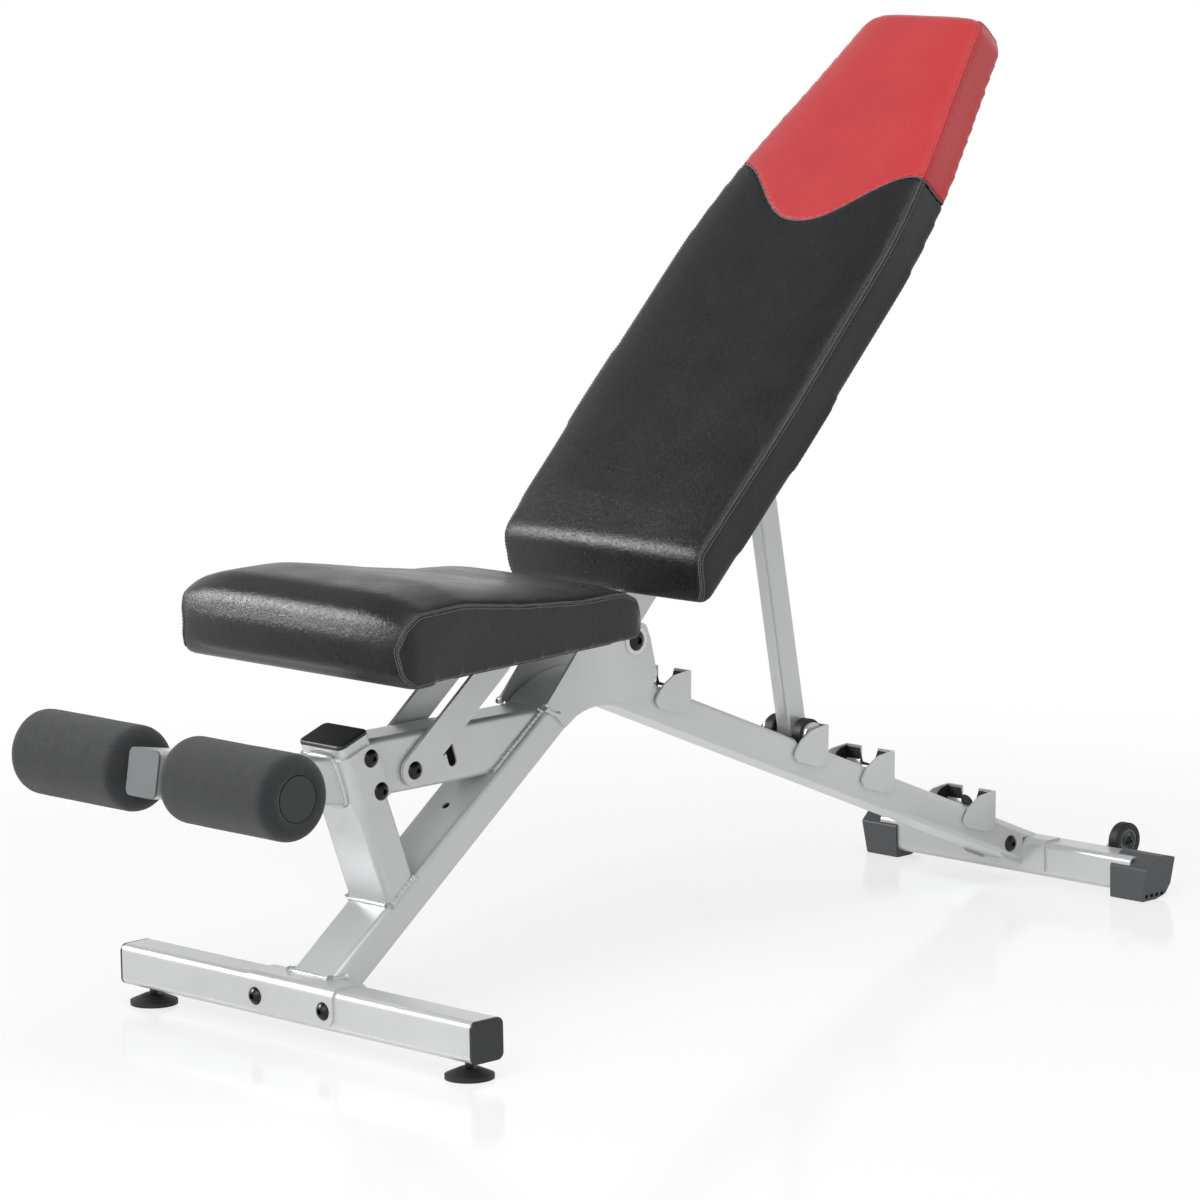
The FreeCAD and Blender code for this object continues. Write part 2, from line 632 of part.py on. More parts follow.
top_pin = V(290.0, 0, 419.0)
rail_z1 = seat_board_z
rail = side([(b0 + 60, rail_z1 - 14), (b0 + 60, rail_z1), (b1 - 10, rail_z1), (470, rail_z1),
             (524, 428), (522, 402), (500, 402), (452, rail_z1 - 22),
             (320, rail_z1 - 30), (262, rail_z1 - 30), (240, rail_z1 - 14)],
            -rail_out, -rail_in, [2, 2, 0, 20, 10, 9, 9, 20, 8, 8, 8])
rail = rail.cut(cyl(pivot_x, pivot_z, piv_r + run, -60, 60))
rail = rail.cut(cyl(top_pin.x, top_pin.z, 5.0, -60, 60))
both("seat_rail", rail)

st_in = beam_w / 2 + 1.2
st_out = st_in + strut_t
rad = strut_w / 2
sd = pin_a - top_pin
strut_len = sd.Length
sd.normalize()
spn = V(-sd.z, 0, sd.x)

strut = side([(-rad, -rad), (strut_len + rad, -rad), (strut_len + rad, rad), (-rad, rad)],
             -st_out, -st_in, rad - 0.01)
strut = strut.cut(cyl(0, 0, bolt_r + run, -60, 60)).cut(cyl(strut_len, 0, pin_r + run, -60, 60))
strut_deg = math.degrees(math.atan2(sd.z, sd.x))
strut = place(strut, top_pin.x, top_pin.z, strut_deg)
both("seat_strut", strut)
add("strut_pin", across(bolt(pin_r, 2 * st_out), pin_a.x, pin_a.z, -st_out))
add("strut_top_bolt", across(bolt(bolt_r, 2 * st_out, head_r - 2, 5), top_pin.x, top_pin.z,
                             -st_out))

spacers = []
for s in (-1, 1):
    thick = tube_w / 2 - rail_out - 0.1
    y0 = min(s * (rail_out + 0.1), s * tube_w / 2)
    ring = cyl(pivot_x, pivot_z, piv_r + 5, y0, y0 + thick)
    spacers.append(ring.cut(cyl(pivot_x, pivot_z, piv_r + run, -80, 80)))
add("pivot_spacers", *spacers)

# ------------------------------------------------------------- the back rest
# Local lengths: along the pad from the pivot, and out of its front face.
sleeve_r = piv_r + 6.0
bt_len = 892.0
bt = tube(bt_len - 6, back_tube_w, back_tube_d, 6.0, wall)
bt.translate(V(6, 0, tube_n))
nose_cut = box(-100, 14, -60, 60, -60, 60).cut(cyl(16, tube_n, back_tube_d / 2, -60, 60))
bt = bt.cut(nose_cut)
half_t = back_tube_w / 2
sleeve = cyl(0, 0, sleeve_r, -half_t, half_t)
bt = bt.cut(sleeve)
bt = max(bt.Solids, key=lambda q: q.Volume)
bt = bt.fuse(sleeve).cut(cyl(0, 0, piv_r + run, -80, 80)).removeSplitter()


def back(shape):
    return place(shape, pivot_x, pivot_z, back_deg)


add("back_tube", back(bt))
bc = bar(4.0, back_tube_w, back_tube_d, 6.0)
bplug = tube(14.0, back_tube_w - 2 * wall, back_tube_d - 2 * wall, 3.5, 2.0)
bplug.translate(V(-14.0, 0, 0))
bc = bc.fuse(bplug)
bc.translate(V(bt_len, 0, tube_n))
add("back_tube_cap", back(bc))

pad_u0 = 33.0
n0 = tube_n + back_tube_d / 2
n_low = back_tube_d / 2 - tube_n
taper = 1 - back_w_top / back_w
widths = [(0.0, 0.96), (0.25, 1.01), (0.45, 1.0), (0.59, 1 - 0.045 * taper),
          (0.73, 1 - 0.28 * taper), (0.86, 1 - 0.63 * taper), (1.0, 1 - taper)]


def back_outline(margin, lift):
    right = []
    for f, w in widths:
        u = pad_u0 + margin + f * (back_len - 2 * margin)
        right.append(V(u, -(back_w / 2) * w + margin, lift))
    left = [V(p.x, -p.y, lift) for p in right]
    a = Part.BSplineCurve()
    a.interpolate(right)
    b = Part.BSplineCurve()
    b.interpolate(left)
    wire = Part.Wire([a.toShape(), Part.makeLine(right[-1], left[-1]), b.toShape(),
                      Part.makeLine(left[0], right[0])])
    return Part.Face(wire)


bb = back_outline(14.0, n0).extrude(V(0, 0, board_t))
add("back_board", back(bb))
pad_lo = n0 + board_t
pad_hi = pad_lo + back_pad_t
trim = 0.5
pad_start = pad_u0 + trim
pad_end = pad_u0 + back_len - trim
bp = back_outline(0.0, pad_lo - 5).extrude(V(0, 0, back_pad_t + 10))
posts = [e for e in bp.Edges if e.BoundBox.ZLength > back_pad_t and e.BoundBox.XLength < 1]
bp = bp.makeFillet(18.0, posts)
bp = bp.common(side([(pad_start, pad_lo), (pad_end, pad_lo), (pad_end, pad_hi),
                     (pad_start + back_heel, pad_hi)], -back_w, back_w, [8, 6, 16, 24]))
add("back_pad", back(bp))

# ------------------------------------------------------------------ the brace
ear_n = 30.0
ear_u = 330.8
ear_t = 4.0
ear_in = brace_w / 2 + 1.0
ears = []
for s in (-1, 1):
    y0 = min(s * ear_in, s * (ear_in + ear_t))
    e = side([(ear_u - 34, -n_low), (ear_u + 34, -n_low), (ear_u + 14, -ear_n - 14),
              (ear_u - 14, -ear_n - 14)], y0, y0 + ear_t, [0, 0, 12, 12])
    e = e.cut(cyl(ear_u, -ear_n, bolt_r + run, -60, 60))
    ears.append(back(e))
add("brace_ears", *ears)
ub = unit(back_deg)
nb = V(-ub.z, 0, ub.x)
bpin = V(pivot_x, 0, pivot_z) + ub * ear_u - nb * ear_n
add("brace_bolt", across(bolt(bolt_r, 2 * (ear_in + ear_t), head_r - 2, 5), bpin.x, bpin.z,
                         -ear_in - ear_t))
foot_at = V(rest[1][0], 0, rest[1][1])
bd = foot_at - bpin
brace_len = bd.Length
brace_deg = math.degrees(math.atan2(bd.z, bd.x))
bar_r = 11.0
nose_r = brace_d / 2
br = tube(brace_len + nose_r, brace_w, brace_d, 4.0, 2.0)
br.translate(V(-nose_r, 0, 0))
br = br.cut(box(-40, 0, -60, 60, -60, 60).cut(cyl(0, 0, nose_r, -60, 60)))
bush = cyl(0, 0, bolt_r + 4, -brace_w / 2, brace_w / 2)
br = br.cut(cyl(brace_len, 0, bar_r, -60, 60)).cut(box(brace_len, brace_len + 60, -60, 60, -60, 60))
br = max(br.Solids, key=lambda q: q.Volume)
br = br.fuse(bush).cut(cyl(0, 0, bolt_r + run, -60, 60)).removeSplitter()
add("brace_tube", place(br, bpin.x, bpin.z, brace_deg))
foot_half = tube_w / 2 - 0.8
cb = cyl(foot_at.x, foot_at.z, bar_r, -foot_half + 4, foot_half - 4)
for s in (-1, 1):
    y0 = min(s * (foot_half - 4.5), s * foot_half)
    cb = cb.fuse(cyl(foot_at.x, foot_at.z, 15.0, y0, y0 + 4.5))
add("brace_foot_bar", cb.removeSplitter())
rings = []
for s in (-1, 1):
    y0 = min(s * (foot_half - 4.5), s * (brace_w / 2 + 5))
    y1 = max(s * (foot_half - 4.5), s * (brace_w / 2 + 5))
    r = cyl(foot_at.x, foot_at.z, ring_r, y0, y1)
    r = r.makeFillet(2.0, [e for e in r.Edges if abs(e.Length - 2 * math.pi * ring_r) < 1])
    r = r.cut(cyl(foot_at.x, foot_at.z, bar_r, -60, 60))
    rings.append(r)
add("brace_rings", *rings)
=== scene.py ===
import json
import math
import random

import bmesh
import bpy
import numpy as np
from bpy.props import FloatProperty, FloatVectorProperty, IntProperty, PointerProperty, StringProperty
from mathutils import Matrix, Vector, noise
from mathutils.bvhtree import BVHTree
from mathutils.kdtree import KDTree


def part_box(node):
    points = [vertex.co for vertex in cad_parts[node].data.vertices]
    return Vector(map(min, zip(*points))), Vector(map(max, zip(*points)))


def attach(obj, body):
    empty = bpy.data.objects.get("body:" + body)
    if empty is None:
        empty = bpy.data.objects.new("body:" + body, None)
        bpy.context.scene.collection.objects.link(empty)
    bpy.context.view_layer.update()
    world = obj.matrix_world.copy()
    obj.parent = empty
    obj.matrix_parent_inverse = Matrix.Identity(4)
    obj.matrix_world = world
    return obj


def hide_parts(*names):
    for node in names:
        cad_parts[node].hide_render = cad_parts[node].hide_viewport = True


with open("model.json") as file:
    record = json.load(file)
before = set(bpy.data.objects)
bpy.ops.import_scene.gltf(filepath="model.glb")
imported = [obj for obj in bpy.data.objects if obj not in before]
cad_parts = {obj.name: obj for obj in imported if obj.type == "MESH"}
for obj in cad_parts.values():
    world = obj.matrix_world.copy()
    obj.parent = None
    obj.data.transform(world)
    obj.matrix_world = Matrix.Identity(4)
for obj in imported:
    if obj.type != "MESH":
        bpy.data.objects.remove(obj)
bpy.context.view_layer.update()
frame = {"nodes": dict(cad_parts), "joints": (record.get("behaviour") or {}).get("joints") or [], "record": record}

bl_info = {
    "name": "Sit-up bench looks",
    "version": (1, 0, 0),
    "blender": (4, 5, 0),
    "location": "3D View > Sidebar > Bench",
    "description": "Cushions, foam, seams, weld beads and finishes round the bench's frame",
    "category": "Object",
}

MM = 0.001
JOINTS = {joint["name"]: joint for joint in frame["joints"]}
PIVOT = Vector(JOINTS["back_tilt"]["pos_m"])
CROSS_LOW, CROSS_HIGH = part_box("front_cross_tube")
BENCH_X = (CROSS_LOW.x + CROSS_HIGH.x) / 2


# ------------------------------------------------------------------ settings


class BenchSizes(bpy.types.PropertyGroup):
    """Sizes of the cushions, seams and welds, in millimetres where no unit is shown."""

    back_slope: FloatProperty(name="Back slope", description="Slope of the back rest as it stands",
                              default=math.radians(45.4), subtype="ANGLE")
    voxel: FloatProperty(name="Voxel", description="Remesh size of a cushion before it is inflated",
                         default=0.005, unit="LENGTH")
    pressure: FloatProperty(name="Pressure", description="How hard the foam presses on its cover",
                            default=4.0)
    seat_swell: FloatProperty(name="Seat swell", description="Most that the seat cover may bulge",
                              default=0.004, unit="LENGTH")
    back_swell: FloatProperty(name="Back swell", description="Most that the back cover may bulge",
                              default=0.003, unit="LENGTH")
    stitch_pitch: FloatProperty(name="Stitch pitch", description="From one stitch to the next",
                                default=0.0046, unit="LENGTH")
    stitch_length: FloatProperty(name="Stitch length", description="Length of one stitch",
                                 default=0.0034, unit="LENGTH")
    thread_radius: FloatProperty(name="Thread", description="Radius of the sewing thread",
                                 default=0.0007, unit="LENGTH")
    stitch_inset: FloatProperty(name="Stitch inset", description="From the seam to a row of stitches",
                                default=0.0045, unit="LENGTH")
    bead_radius: FloatProperty(name="Weld bead", description="Radius of a weld bead",
                               default=0.0034, unit="LENGTH")
    sleeve_segments: IntProperty(name="Sleeve segments", description="Facets round a foam sleeve",
                                 default=120, min=24)


class BenchColours(bpy.types.PropertyGroup):
    """Colours of the finishes, as sRGB hex values."""

    silver: StringProperty(name="Silver powder coat", description="Frame", default="#CCCECE")
    black_vinyl: StringProperty(name="Black vinyl", description="Cushions", default="#101011")
    red_vinyl: StringProperty(name="Red vinyl", description="Head cover", default="#B9262C")
    red_thread: StringProperty(name="Red thread", description="Head cover seam", default="#C23A3E")
    black_thread: StringProperty(name="Black thread", description="Cushion seams", default="#48484A")
    foam: StringProperty(name="Foam", description="Leg roller foam", default="#1D1E20")
    black_plastic: StringProperty(name="Black plastic", description="Caps", default="#1E1F20")
    grey_plastic: StringProperty(name="Grey plastic", description="Arm cap, hubs", default="#6A6C6D")
    grey_rubber: StringProperty(name="Grey rubber", description="Rear boots", default="#4B4D4F")
    black_rubber: StringProperty(name="Black rubber", description="Rings, feet", default="#1A1A1B")
    black_steel: StringProperty(name="Black steel", description="Bolts", default="#141414")
    zinc: StringProperty(name="Zinc", description="Axle, washers, spacers", default="#C4C6C8")
    board: StringProperty(name="Board cover", description="Cloth over the boards", default="#1B1B1C")
    floor: StringProperty(name="Floor", description="Floor", default="#FAFAFA")


class BenchStage(bpy.types.PropertyGroup):
    """Camera, lamps and surroundings."""

    camera_place: FloatVectorProperty(name="Camera", description="Camera from the front floor tube",
                                      default=(-4.432, -5.084, 1.615), subtype="TRANSLATION")
    camera_yaw: FloatProperty(name="Yaw", description="Camera's heading from +X",
                              default=math.radians(45.996), subtype="ANGLE")
    camera_pitch: FloatProperty(name="Pitch", description="Camera's tilt, down is negative",
                                default=math.radians(-9.264), subtype="ANGLE")
    camera_roll: FloatProperty(name="Roll", description="Camera's roll",
                               default=math.radians(-1.008), subtype="ANGLE")
    lens: FloatProperty(name="Lens", description="Focal length in mm on a 36 mm wide sensor",
                        default=176.08)
    shift: FloatVectorProperty(name="Shift", description="Lens shift", size=2,
                               default=(0.0066, 0.0011))
    ambient: FloatProperty(name="Ambient", description="Strength of the surroundings", default=0.42)
    floor_size: FloatProperty(name="Floor size", description="Side of the floor", default=40.0,
                              unit="LENGTH")


# ------------------------------------------------------------------ helpers


def settings():
    return bpy.context.scene.bench_sizes


def colours():
    return bpy.context.scene.bench_colours


def linear(hex_value):
    """sRGB hex to linear RGBA."""
    channels = []
    for i in (1, 3, 5):
        c = int(hex_value[i:i + 2], 16) / 255
        channels.append(c / 12.92 if c <= 0.04045 else ((c + 0.055) / 1.055) ** 2.4)
    return (*channels, 1.0)


def bench(x, y, z):
    """A point given in millimetres from the middle of the front floor tube, on the floor."""
    return Vector((BENCH_X + x * MM, y * MM, z * MM))


def back_point(u, y, n):
    """A point of the back rest: along it from the pivot, across, and out of its face, in metres."""
    slope = settings().back_slope
    along = Vector((math.cos(slope), 0, math.sin(slope)))
    out = Vector((-math.sin(slope), 0, math.cos(slope)))
    return Vector((PIVOT.x, 0, PIVOT.z)) + along * u + out * n + Vector((0, y, 0))


def back_local(p):
    """The inverse of back_point."""
    slope = settings().back_slope
    d = p - Vector((PIVOT.x, 0, PIVOT.z))
    u = d.x * math.cos(slope) + d.z * math.sin(slope)
    n = -d.x * math.sin(slope) + d.z * math.cos(slope)
    return u, p.y, n


def new_object(name, verts, faces, material, smooth=True):
    mesh = bpy.data.meshes.new(name)
    mesh.from_pydata([tuple(v) for v in verts], [], faces)
    mesh.update()
    if smooth:
        mesh.shade_smooth()
    mesh.materials.append(material)
    obj = bpy.data.objects.new(name, mesh)
    bpy.context.scene.collection.objects.link(obj)
    return obj


def turn_outward(obj):
    """Turns a closed mesh's faces to point out."""
    bm = bmesh.new()
    bm.from_mesh(obj.data)
    bmesh.ops.recalc_face_normals(bm, faces=bm.faces)
    bm.to_mesh(obj.data)
    bm.free()


def spin(name, centre, profile, segments, material):
    """Closed ring turned round an axis along Y: profile points are (y, radius) in metres."""
    verts = []
    faces = []
    count = len(profile)
    for k in range(segments):
        a = 2 * math.pi * k / segments
        for y, r in profile:
            verts.append(centre + Vector((r * math.cos(a), y, r * math.sin(a))))
    for k in range(segments):
        for i in range(count):
            a0 = k * count + i
            a1 = k * count + (i + 1) % count
            b0 = ((k + 1) % segments) * count + i
            b1 = ((k + 1) % segments) * count + (i + 1) % count
            faces.append((a0, b0, b1, a1))
    return new_object(name, verts, faces, material)


def resample(points, step, closed=False):
    """Points along a polyline at even steps."""
    pts = list(points) + ([points[0]] if closed else [])
    lengths = [0.0]
    for a, b in zip(pts, pts[1:]):
        lengths.append(lengths[-1] + (b - a).length)
    count = max(2, round(lengths[-1] / step))
    out = []
    j = 0
    for k in range(count if closed else count + 1):
        at = lengths[-1] * k / count
        while j < len(lengths) - 2 and lengths[j + 1] < at:
            j += 1
        span = lengths[j + 1] - lengths[j]
        out.append(pts[j].lerp(pts[j + 1], (at - lengths[j]) / span if span > 0 else 0))
    return out


def rope_parts(points, radius, sides=8, closed=False):
    """Vertices and faces of a round rope along the points; radius is a number or a function."""
    verts = []
    faces = []
    count = len(points)
    for i, p in enumerate(points):
        before = points[i - 1] if i or closed else p
        after = points[(i + 1) % count] if i < count - 1 or closed else p
        along = (after - before).normalized()
        ref = Vector((0, 1, 0)) if abs(along.y) < 0.8 else Vector((1, 0, 0))
        side = along.cross(ref).normalized()
        up = side.cross(along)
        r = radius(i / max(1, count - 1)) if callable(radius) else radius
        for k in range(sides):
            a = 2 * math.pi * k / sides
            verts.append(p + side * (r * math.cos(a)) + up * (r * math.sin(a)))
    last = count if closed else count - 1
    for i in range(last):
        for k in range(sides):
            a = i * sides + k
            b = i * sides + (k + 1) % sides
            c = ((i + 1) % count) * sides + (k + 1) % sides
            d = ((i + 1) % count) * sides + k
            faces.append((a, b, c, d))
    if not closed:
        faces.append(tuple(range(sides)))
        faces.append(tuple((count - 1) * sides + k for k in reversed(range(sides))))
    return verts, faces


def join_parts(name, parts, material):
    """One object from several (verts, faces) lists."""
    verts = []
    faces = []
    for v, f in parts:
        base = len(verts)
        verts.extend(v)
        faces.extend(tuple(i + base for i in face) for face in f)
    return new_object(name, verts, faces, material)


def stitch_row(points, normals):
    """Stitches along a path on a cover, each a short arched thread."""
    s = settings()
    parts = []
    step = s.stitch_pitch
    count = len(points)
    for i in range(count - 1):
        a = points[i]
        along = (points[i + 1] - a).normalized()
        n = normals[i]
        lift = s.thread_radius * 0.7
        mid = a + along * step / 2 + n * lift
        tip = s.stitch_length / 2
        pts = [mid - along * tip - n * lift * 1.6, mid - along * tip * 0.6, mid + along * tip * 0.6,
               mid + along * tip - n * lift * 1.6]
        parts.append(rope_parts(pts, s.thread_radius, 6))
    return parts


# ---------------------------------------------------------------- materials


def add_node(tree, kind, at=None, links=None, **values):
    """Adds one node: values set its properties or inputs, links give (input, output socket)."""
    node = tree.nodes.new(kind)
    for key, value in values.items():
        if hasattr(node, key):
            setattr(node, key, value)
        else:
            node.inputs[key.replace("_", " ")].default_value = value
    for key, socket in (links or {}).items():
        tree.links.new(socket, node.inputs[key])
    if at:
        tree.links.new(node.outputs[0], at)
    return node


def blank(name):
    material = bpy.data.materials.new(name)
    material.use_nodes = True
    tree = material.node_tree
    shader = tree.nodes["Principled BSDF"]
    place = add_node(tree, "ShaderNodeTexCoord").outputs["Object"]
    return material, tree, shader, place


def tinted(tree, shader, place, colour, size, low, high, detail=3.0):
    """Colour varied a little from place to place over patches of the given size."""
    patches = add_node(tree, "ShaderNodeTexNoise", links={"Vector": place}, Scale=1 / size,
                       Detail=detail, Roughness=0.6)
    ramp = add_node(tree, "ShaderNodeMix", data_type="RGBA", links={0: patches.outputs["Fac"]})
    base = linear(colour)
    ramp.inputs[6].default_value = (*[c * low for c in base[:3]], 1)
    ramp.inputs[7].default_value = (*[min(1, c * high) for c in base[:3]], 1)
    tree.links.new(ramp.outputs[2], shader.inputs["Base Color"])
    return patches


def rough_between(tree, shader, source, low, high):
    span = add_node(tree, "ShaderNodeMapRange", links={"Value": source}, at=shader.inputs["Roughness"])
    span.inputs["From Min"].default_value = 0.3
    span.inputs["From Max"].default_value = 0.7
    span.inputs["To Min"].default_value = low
    span.inputs["To Max"].default_value = high


def powder_coat(name, colour):
    """Sprayed and baked silver powder coat: satin, a soft highlight, faint orange peel."""
    material, tree, shader, place = blank(name)
    patches = tinted(tree, shader, place, colour, 0.09, 0.95, 1.03)
    rough_between(tree, shader, patches.outputs["Fac"], 0.3, 0.38)
    shader.inputs["Metallic"].default_value = 0.35
    shader.inputs["Coat Weight"].default_value = 0.3
    shader.inputs["Coat Roughness"].default_value = 0.18
    peel = add_node(tree, "ShaderNodeTexNoise", links={"Vector": place}, Scale=1 / 0.0022, Detail=2.0)
    flake = add_node(tree, "ShaderNodeTexNoise", links={"Vector": place}, Scale=1 / 0.0005, Detail=1.0)
    both = add_node(tree, "ShaderNodeMath", operation="ADD", links={0: peel.outputs["Fac"]})
    fine = add_node(tree, "ShaderNodeMath", operation="MULTIPLY", links={0: flake.outputs["Fac"]})
    fine.inputs[1].default_value = 0.25
    tree.links.new(fine.outputs[0], both.inputs[1])
    add_node(tree, "ShaderNodeBump", links={"Height": both.outputs[0]}, at=shader.inputs["Normal"],
             Strength=0.10, Distance=0.0002)
    return material


def grained_vinyl(name, colour, rough_low, rough_high, grain=0.0021, strength=0.42, sheen=0.0):
    """Embossed vinyl cloth: fine leather creases, pebbles between them, a broad oily highlight."""
    material, tree, shader, place = blank(name)
    patches = tinted(tree, shader, place, colour, 0.06, 0.88, 1.12)
    rough_between(tree, shader, patches.outputs["Fac"], rough_low, rough_high)
    shader.inputs["IOR"].default_value = 1.5
    shader.inputs["Specular IOR Level"].default_value = 0.36
    shader.inputs["Sheen Weight"].default_value = sheen
    shader.inputs["Sheen Roughness"].default_value = 0.4
    warp = add_node(tree, "ShaderNodeTexNoise", links={"Vector": place}, Scale=1 / 0.009, Detail=3.0)
    amount = add_node(tree, "ShaderNodeVectorMath", operation="SCALE",
                      links={0: warp.outputs["Color"]})
    amount.inputs["Scale"].default_value = 0.006
    bent = add_node(tree, "ShaderNodeVectorMath", operation="ADD",
                    links={0: place, 1: amount.outputs[0]})
    pebbles = add_node(tree, "ShaderNodeTexVoronoi", feature="DISTANCE_TO_EDGE",
                       links={"Vector": bent.outputs[0]}, Scale=1 / grain)
    creases = add_node(tree, "ShaderNodeTexNoise", links={"Vector": bent.outputs[0]},
                       Scale=1 / 0.0065, Detail=6.0, Roughness=0.62, Distortion=0.4)
    ridge = add_node(tree, "ShaderNodeMath", operation="SUBTRACT", links={0: creases.outputs["Fac"]})
    ridge.inputs[1].default_value = 0.5
    fold = add_node(tree, "ShaderNodeMath", operation="ABSOLUTE", links={0: ridge.outputs[0]})
    deep = add_node(tree, "ShaderNodeMath", operation="MULTIPLY", links={0: fold.outputs[0]})
    deep.inputs[1].default_value = 3.2
    both = add_node(tree, "ShaderNodeMath", operation="ADD",
                    links={0: pebbles.outputs["Distance"], 1: deep.outputs[0]})
    add_node(tree, "ShaderNodeBump", links={"Height": both.outputs[0]}, at=shader.inputs["Normal"],
             Strength=strength, Distance=0.0007)
    return material


def closed_cell_foam(name, colour):
    """Skinned closed-cell foam: dull and dark, with small open bubbles that catch the light."""
    material, tree, shader, place = blank(name)
    patches = tinted(tree, shader, place, colour, 0.012, 0.8, 1.25)
    rough_between(tree, shader, patches.outputs["Fac"], 0.85, 0.97)
    shader.inputs["Sheen Weight"].default_value = 0.18
    shader.inputs["Sheen Roughness"].default_value = 0.55
    cells = add_node(tree, "ShaderNodeTexVoronoi", links={"Vector": place}, Scale=1 / 0.0016)
    pores = add_node(tree, "ShaderNodeTexNoise", links={"Vector": place}, Scale=1 / 0.0009, Detail=4.0,
                     Roughness=0.7)
    both = add_node(tree, "ShaderNodeMath", operation="ADD",
                    links={0: cells.outputs["Distance"], 1: pores.outputs["Fac"]})
    add_node(tree, "ShaderNodeBump", links={"Height": both.outputs[0]}, at=shader.inputs["Normal"],
             Strength=0.75, Distance=0.0007)
    return material


def moulded(name, colour, rough, grit, strength, specular=0.5):
    """Moulded plastic or rubber: even colour, a fine spark-eroded texture, a dull highlight."""
    material, tree, shader, place = blank(name)
    patches = tinted(tree, shader, place, colour, 0.03, 0.93, 1.07)
    rough_between(tree, shader, patches.outputs["Fac"], rough - 0.05, rough + 0.05)
    shader.inputs["Specular IOR Level"].default_value = specular
    fine = add_node(tree, "ShaderNodeTexNoise", links={"Vector": place}, Scale=1 / grit, Detail=3.0)
    add_node(tree, "ShaderNodeBump", links={"Height": fine.outputs["Fac"]}, at=shader.inputs["Normal"],
             Strength=strength, Distance=0.0003)
    return material


def plated(name, colour, metallic, rough, lines=0.0006):
    """Plated or blackened steel: turned or drawn, so faint lines run round it."""
    material, tree, shader, place = blank(name)
    patches = tinted(tree, shader, place, colour, 0.01, 0.9, 1.08)
    rough_between(tree, shader, patches.outputs["Fac"], rough - 0.06, rough + 0.06)
    shader.inputs["Metallic"].default_value = metallic
    drawn = add_node(tree, "ShaderNodeTexNoise", links={"Vector": place}, Scale=1 / lines, Detail=2.0)
    add_node(tree, "ShaderNodeBump", links={"Height": drawn.outputs["Fac"]}, at=shader.inputs["Normal"],
             Strength=0.08, Distance=0.0002)
    return material


def sewing_thread(name, colour):
    """Twisted polyester thread: a soft sheen and a twist too fine to see, drawn coarse."""
    material, tree, shader, place = blank(name)
    tinted(tree, shader, place, colour, 0.002, 0.8, 1.2)
    shader.inputs["Roughness"].default_value = 0.6
    shader.inputs["Sheen Weight"].default_value = 0.2
    twist = add_node(tree, "ShaderNodeTexNoise", links={"Vector": place}, Scale=1 / 0.0006, Detail=1.0)
    add_node(tree, "ShaderNodeBump", links={"Height": twist.outputs["Fac"]}, at=shader.inputs["Normal"],
             Strength=0.4, Distance=0.0002)
    return material


def dust_cloth(name, colour):
    """Non-woven black cloth stapled over the plywood under a cushion: matt, fibrous."""
    material, tree, shader, place = blank(name)
    tinted(tree, shader, place, colour, 0.004, 0.7, 1.2, 5.0)
    shader.inputs["Roughness"].default_value = 0.9
    fibres = add_node(tree, "ShaderNodeTexNoise", links={"Vector": place}, Scale=1 / 0.0012,
                      Detail=5.0, Distortion=2.0)
    add_node(tree, "ShaderNodeBump", links={"Height": fibres.outputs["Fac"]},
             at=shader.inputs["Normal"], Strength=0.4, Distance=0.0004)
    return material


FINISHES = {
    "grey_paint": lambda c: powder_coat("silver_powder_coat", c.silver),
    "black_vinyl": lambda c: grained_vinyl("black_grained_vinyl", c.black_vinyl, 0.26, 0.36),
    "plywood": lambda c: dust_cloth("black_dust_cloth", c.board),
    "foam": lambda c: closed_cell_foam("closed_cell_foam", c.foam),
    "black_plastic": lambda c: moulded("moulded_black_plastic", c.black_plastic, 0.42, 0.0009, 0.16),
    "grey_plastic": lambda c: moulded("moulded_grey_plastic", c.grey_plastic, 0.45, 0.0009, 0.16),
    "grey_rubber": lambda c: moulded("moulded_grey_rubber", c.grey_rubber, 0.5, 0.0012, 0.2),
    "black_rubber": lambda c: moulded("moulded_black_rubber", c.black_rubber, 0.55, 0.0012, 0.25, 0.4),
    "black_steel": lambda c: plated("blackened_steel", c.black_steel, 0.4, 0.25),
    "zinc_steel": lambda c: plated("zinc_plated_steel", c.zinc, 1.0, 0.3),
    "red_vinyl": lambda c: grained_vinyl("red_grained_vinyl", c.red_vinyl, 0.42, 0.52, 0.0018, 0.3, 0.5),
    "red_thread": lambda c: sewing_thread("red_sewing_thread", c.red_thread),
    "black_thread": lambda c: sewing_thread("black_sewing_thread", c.black_thread),
}
made = {}


def finish_of(kind):
    if kind not in made:
        made[kind] = FINISHES[kind](colours())
    return made[kind]


# ------------------------------------------------------------ cushion making


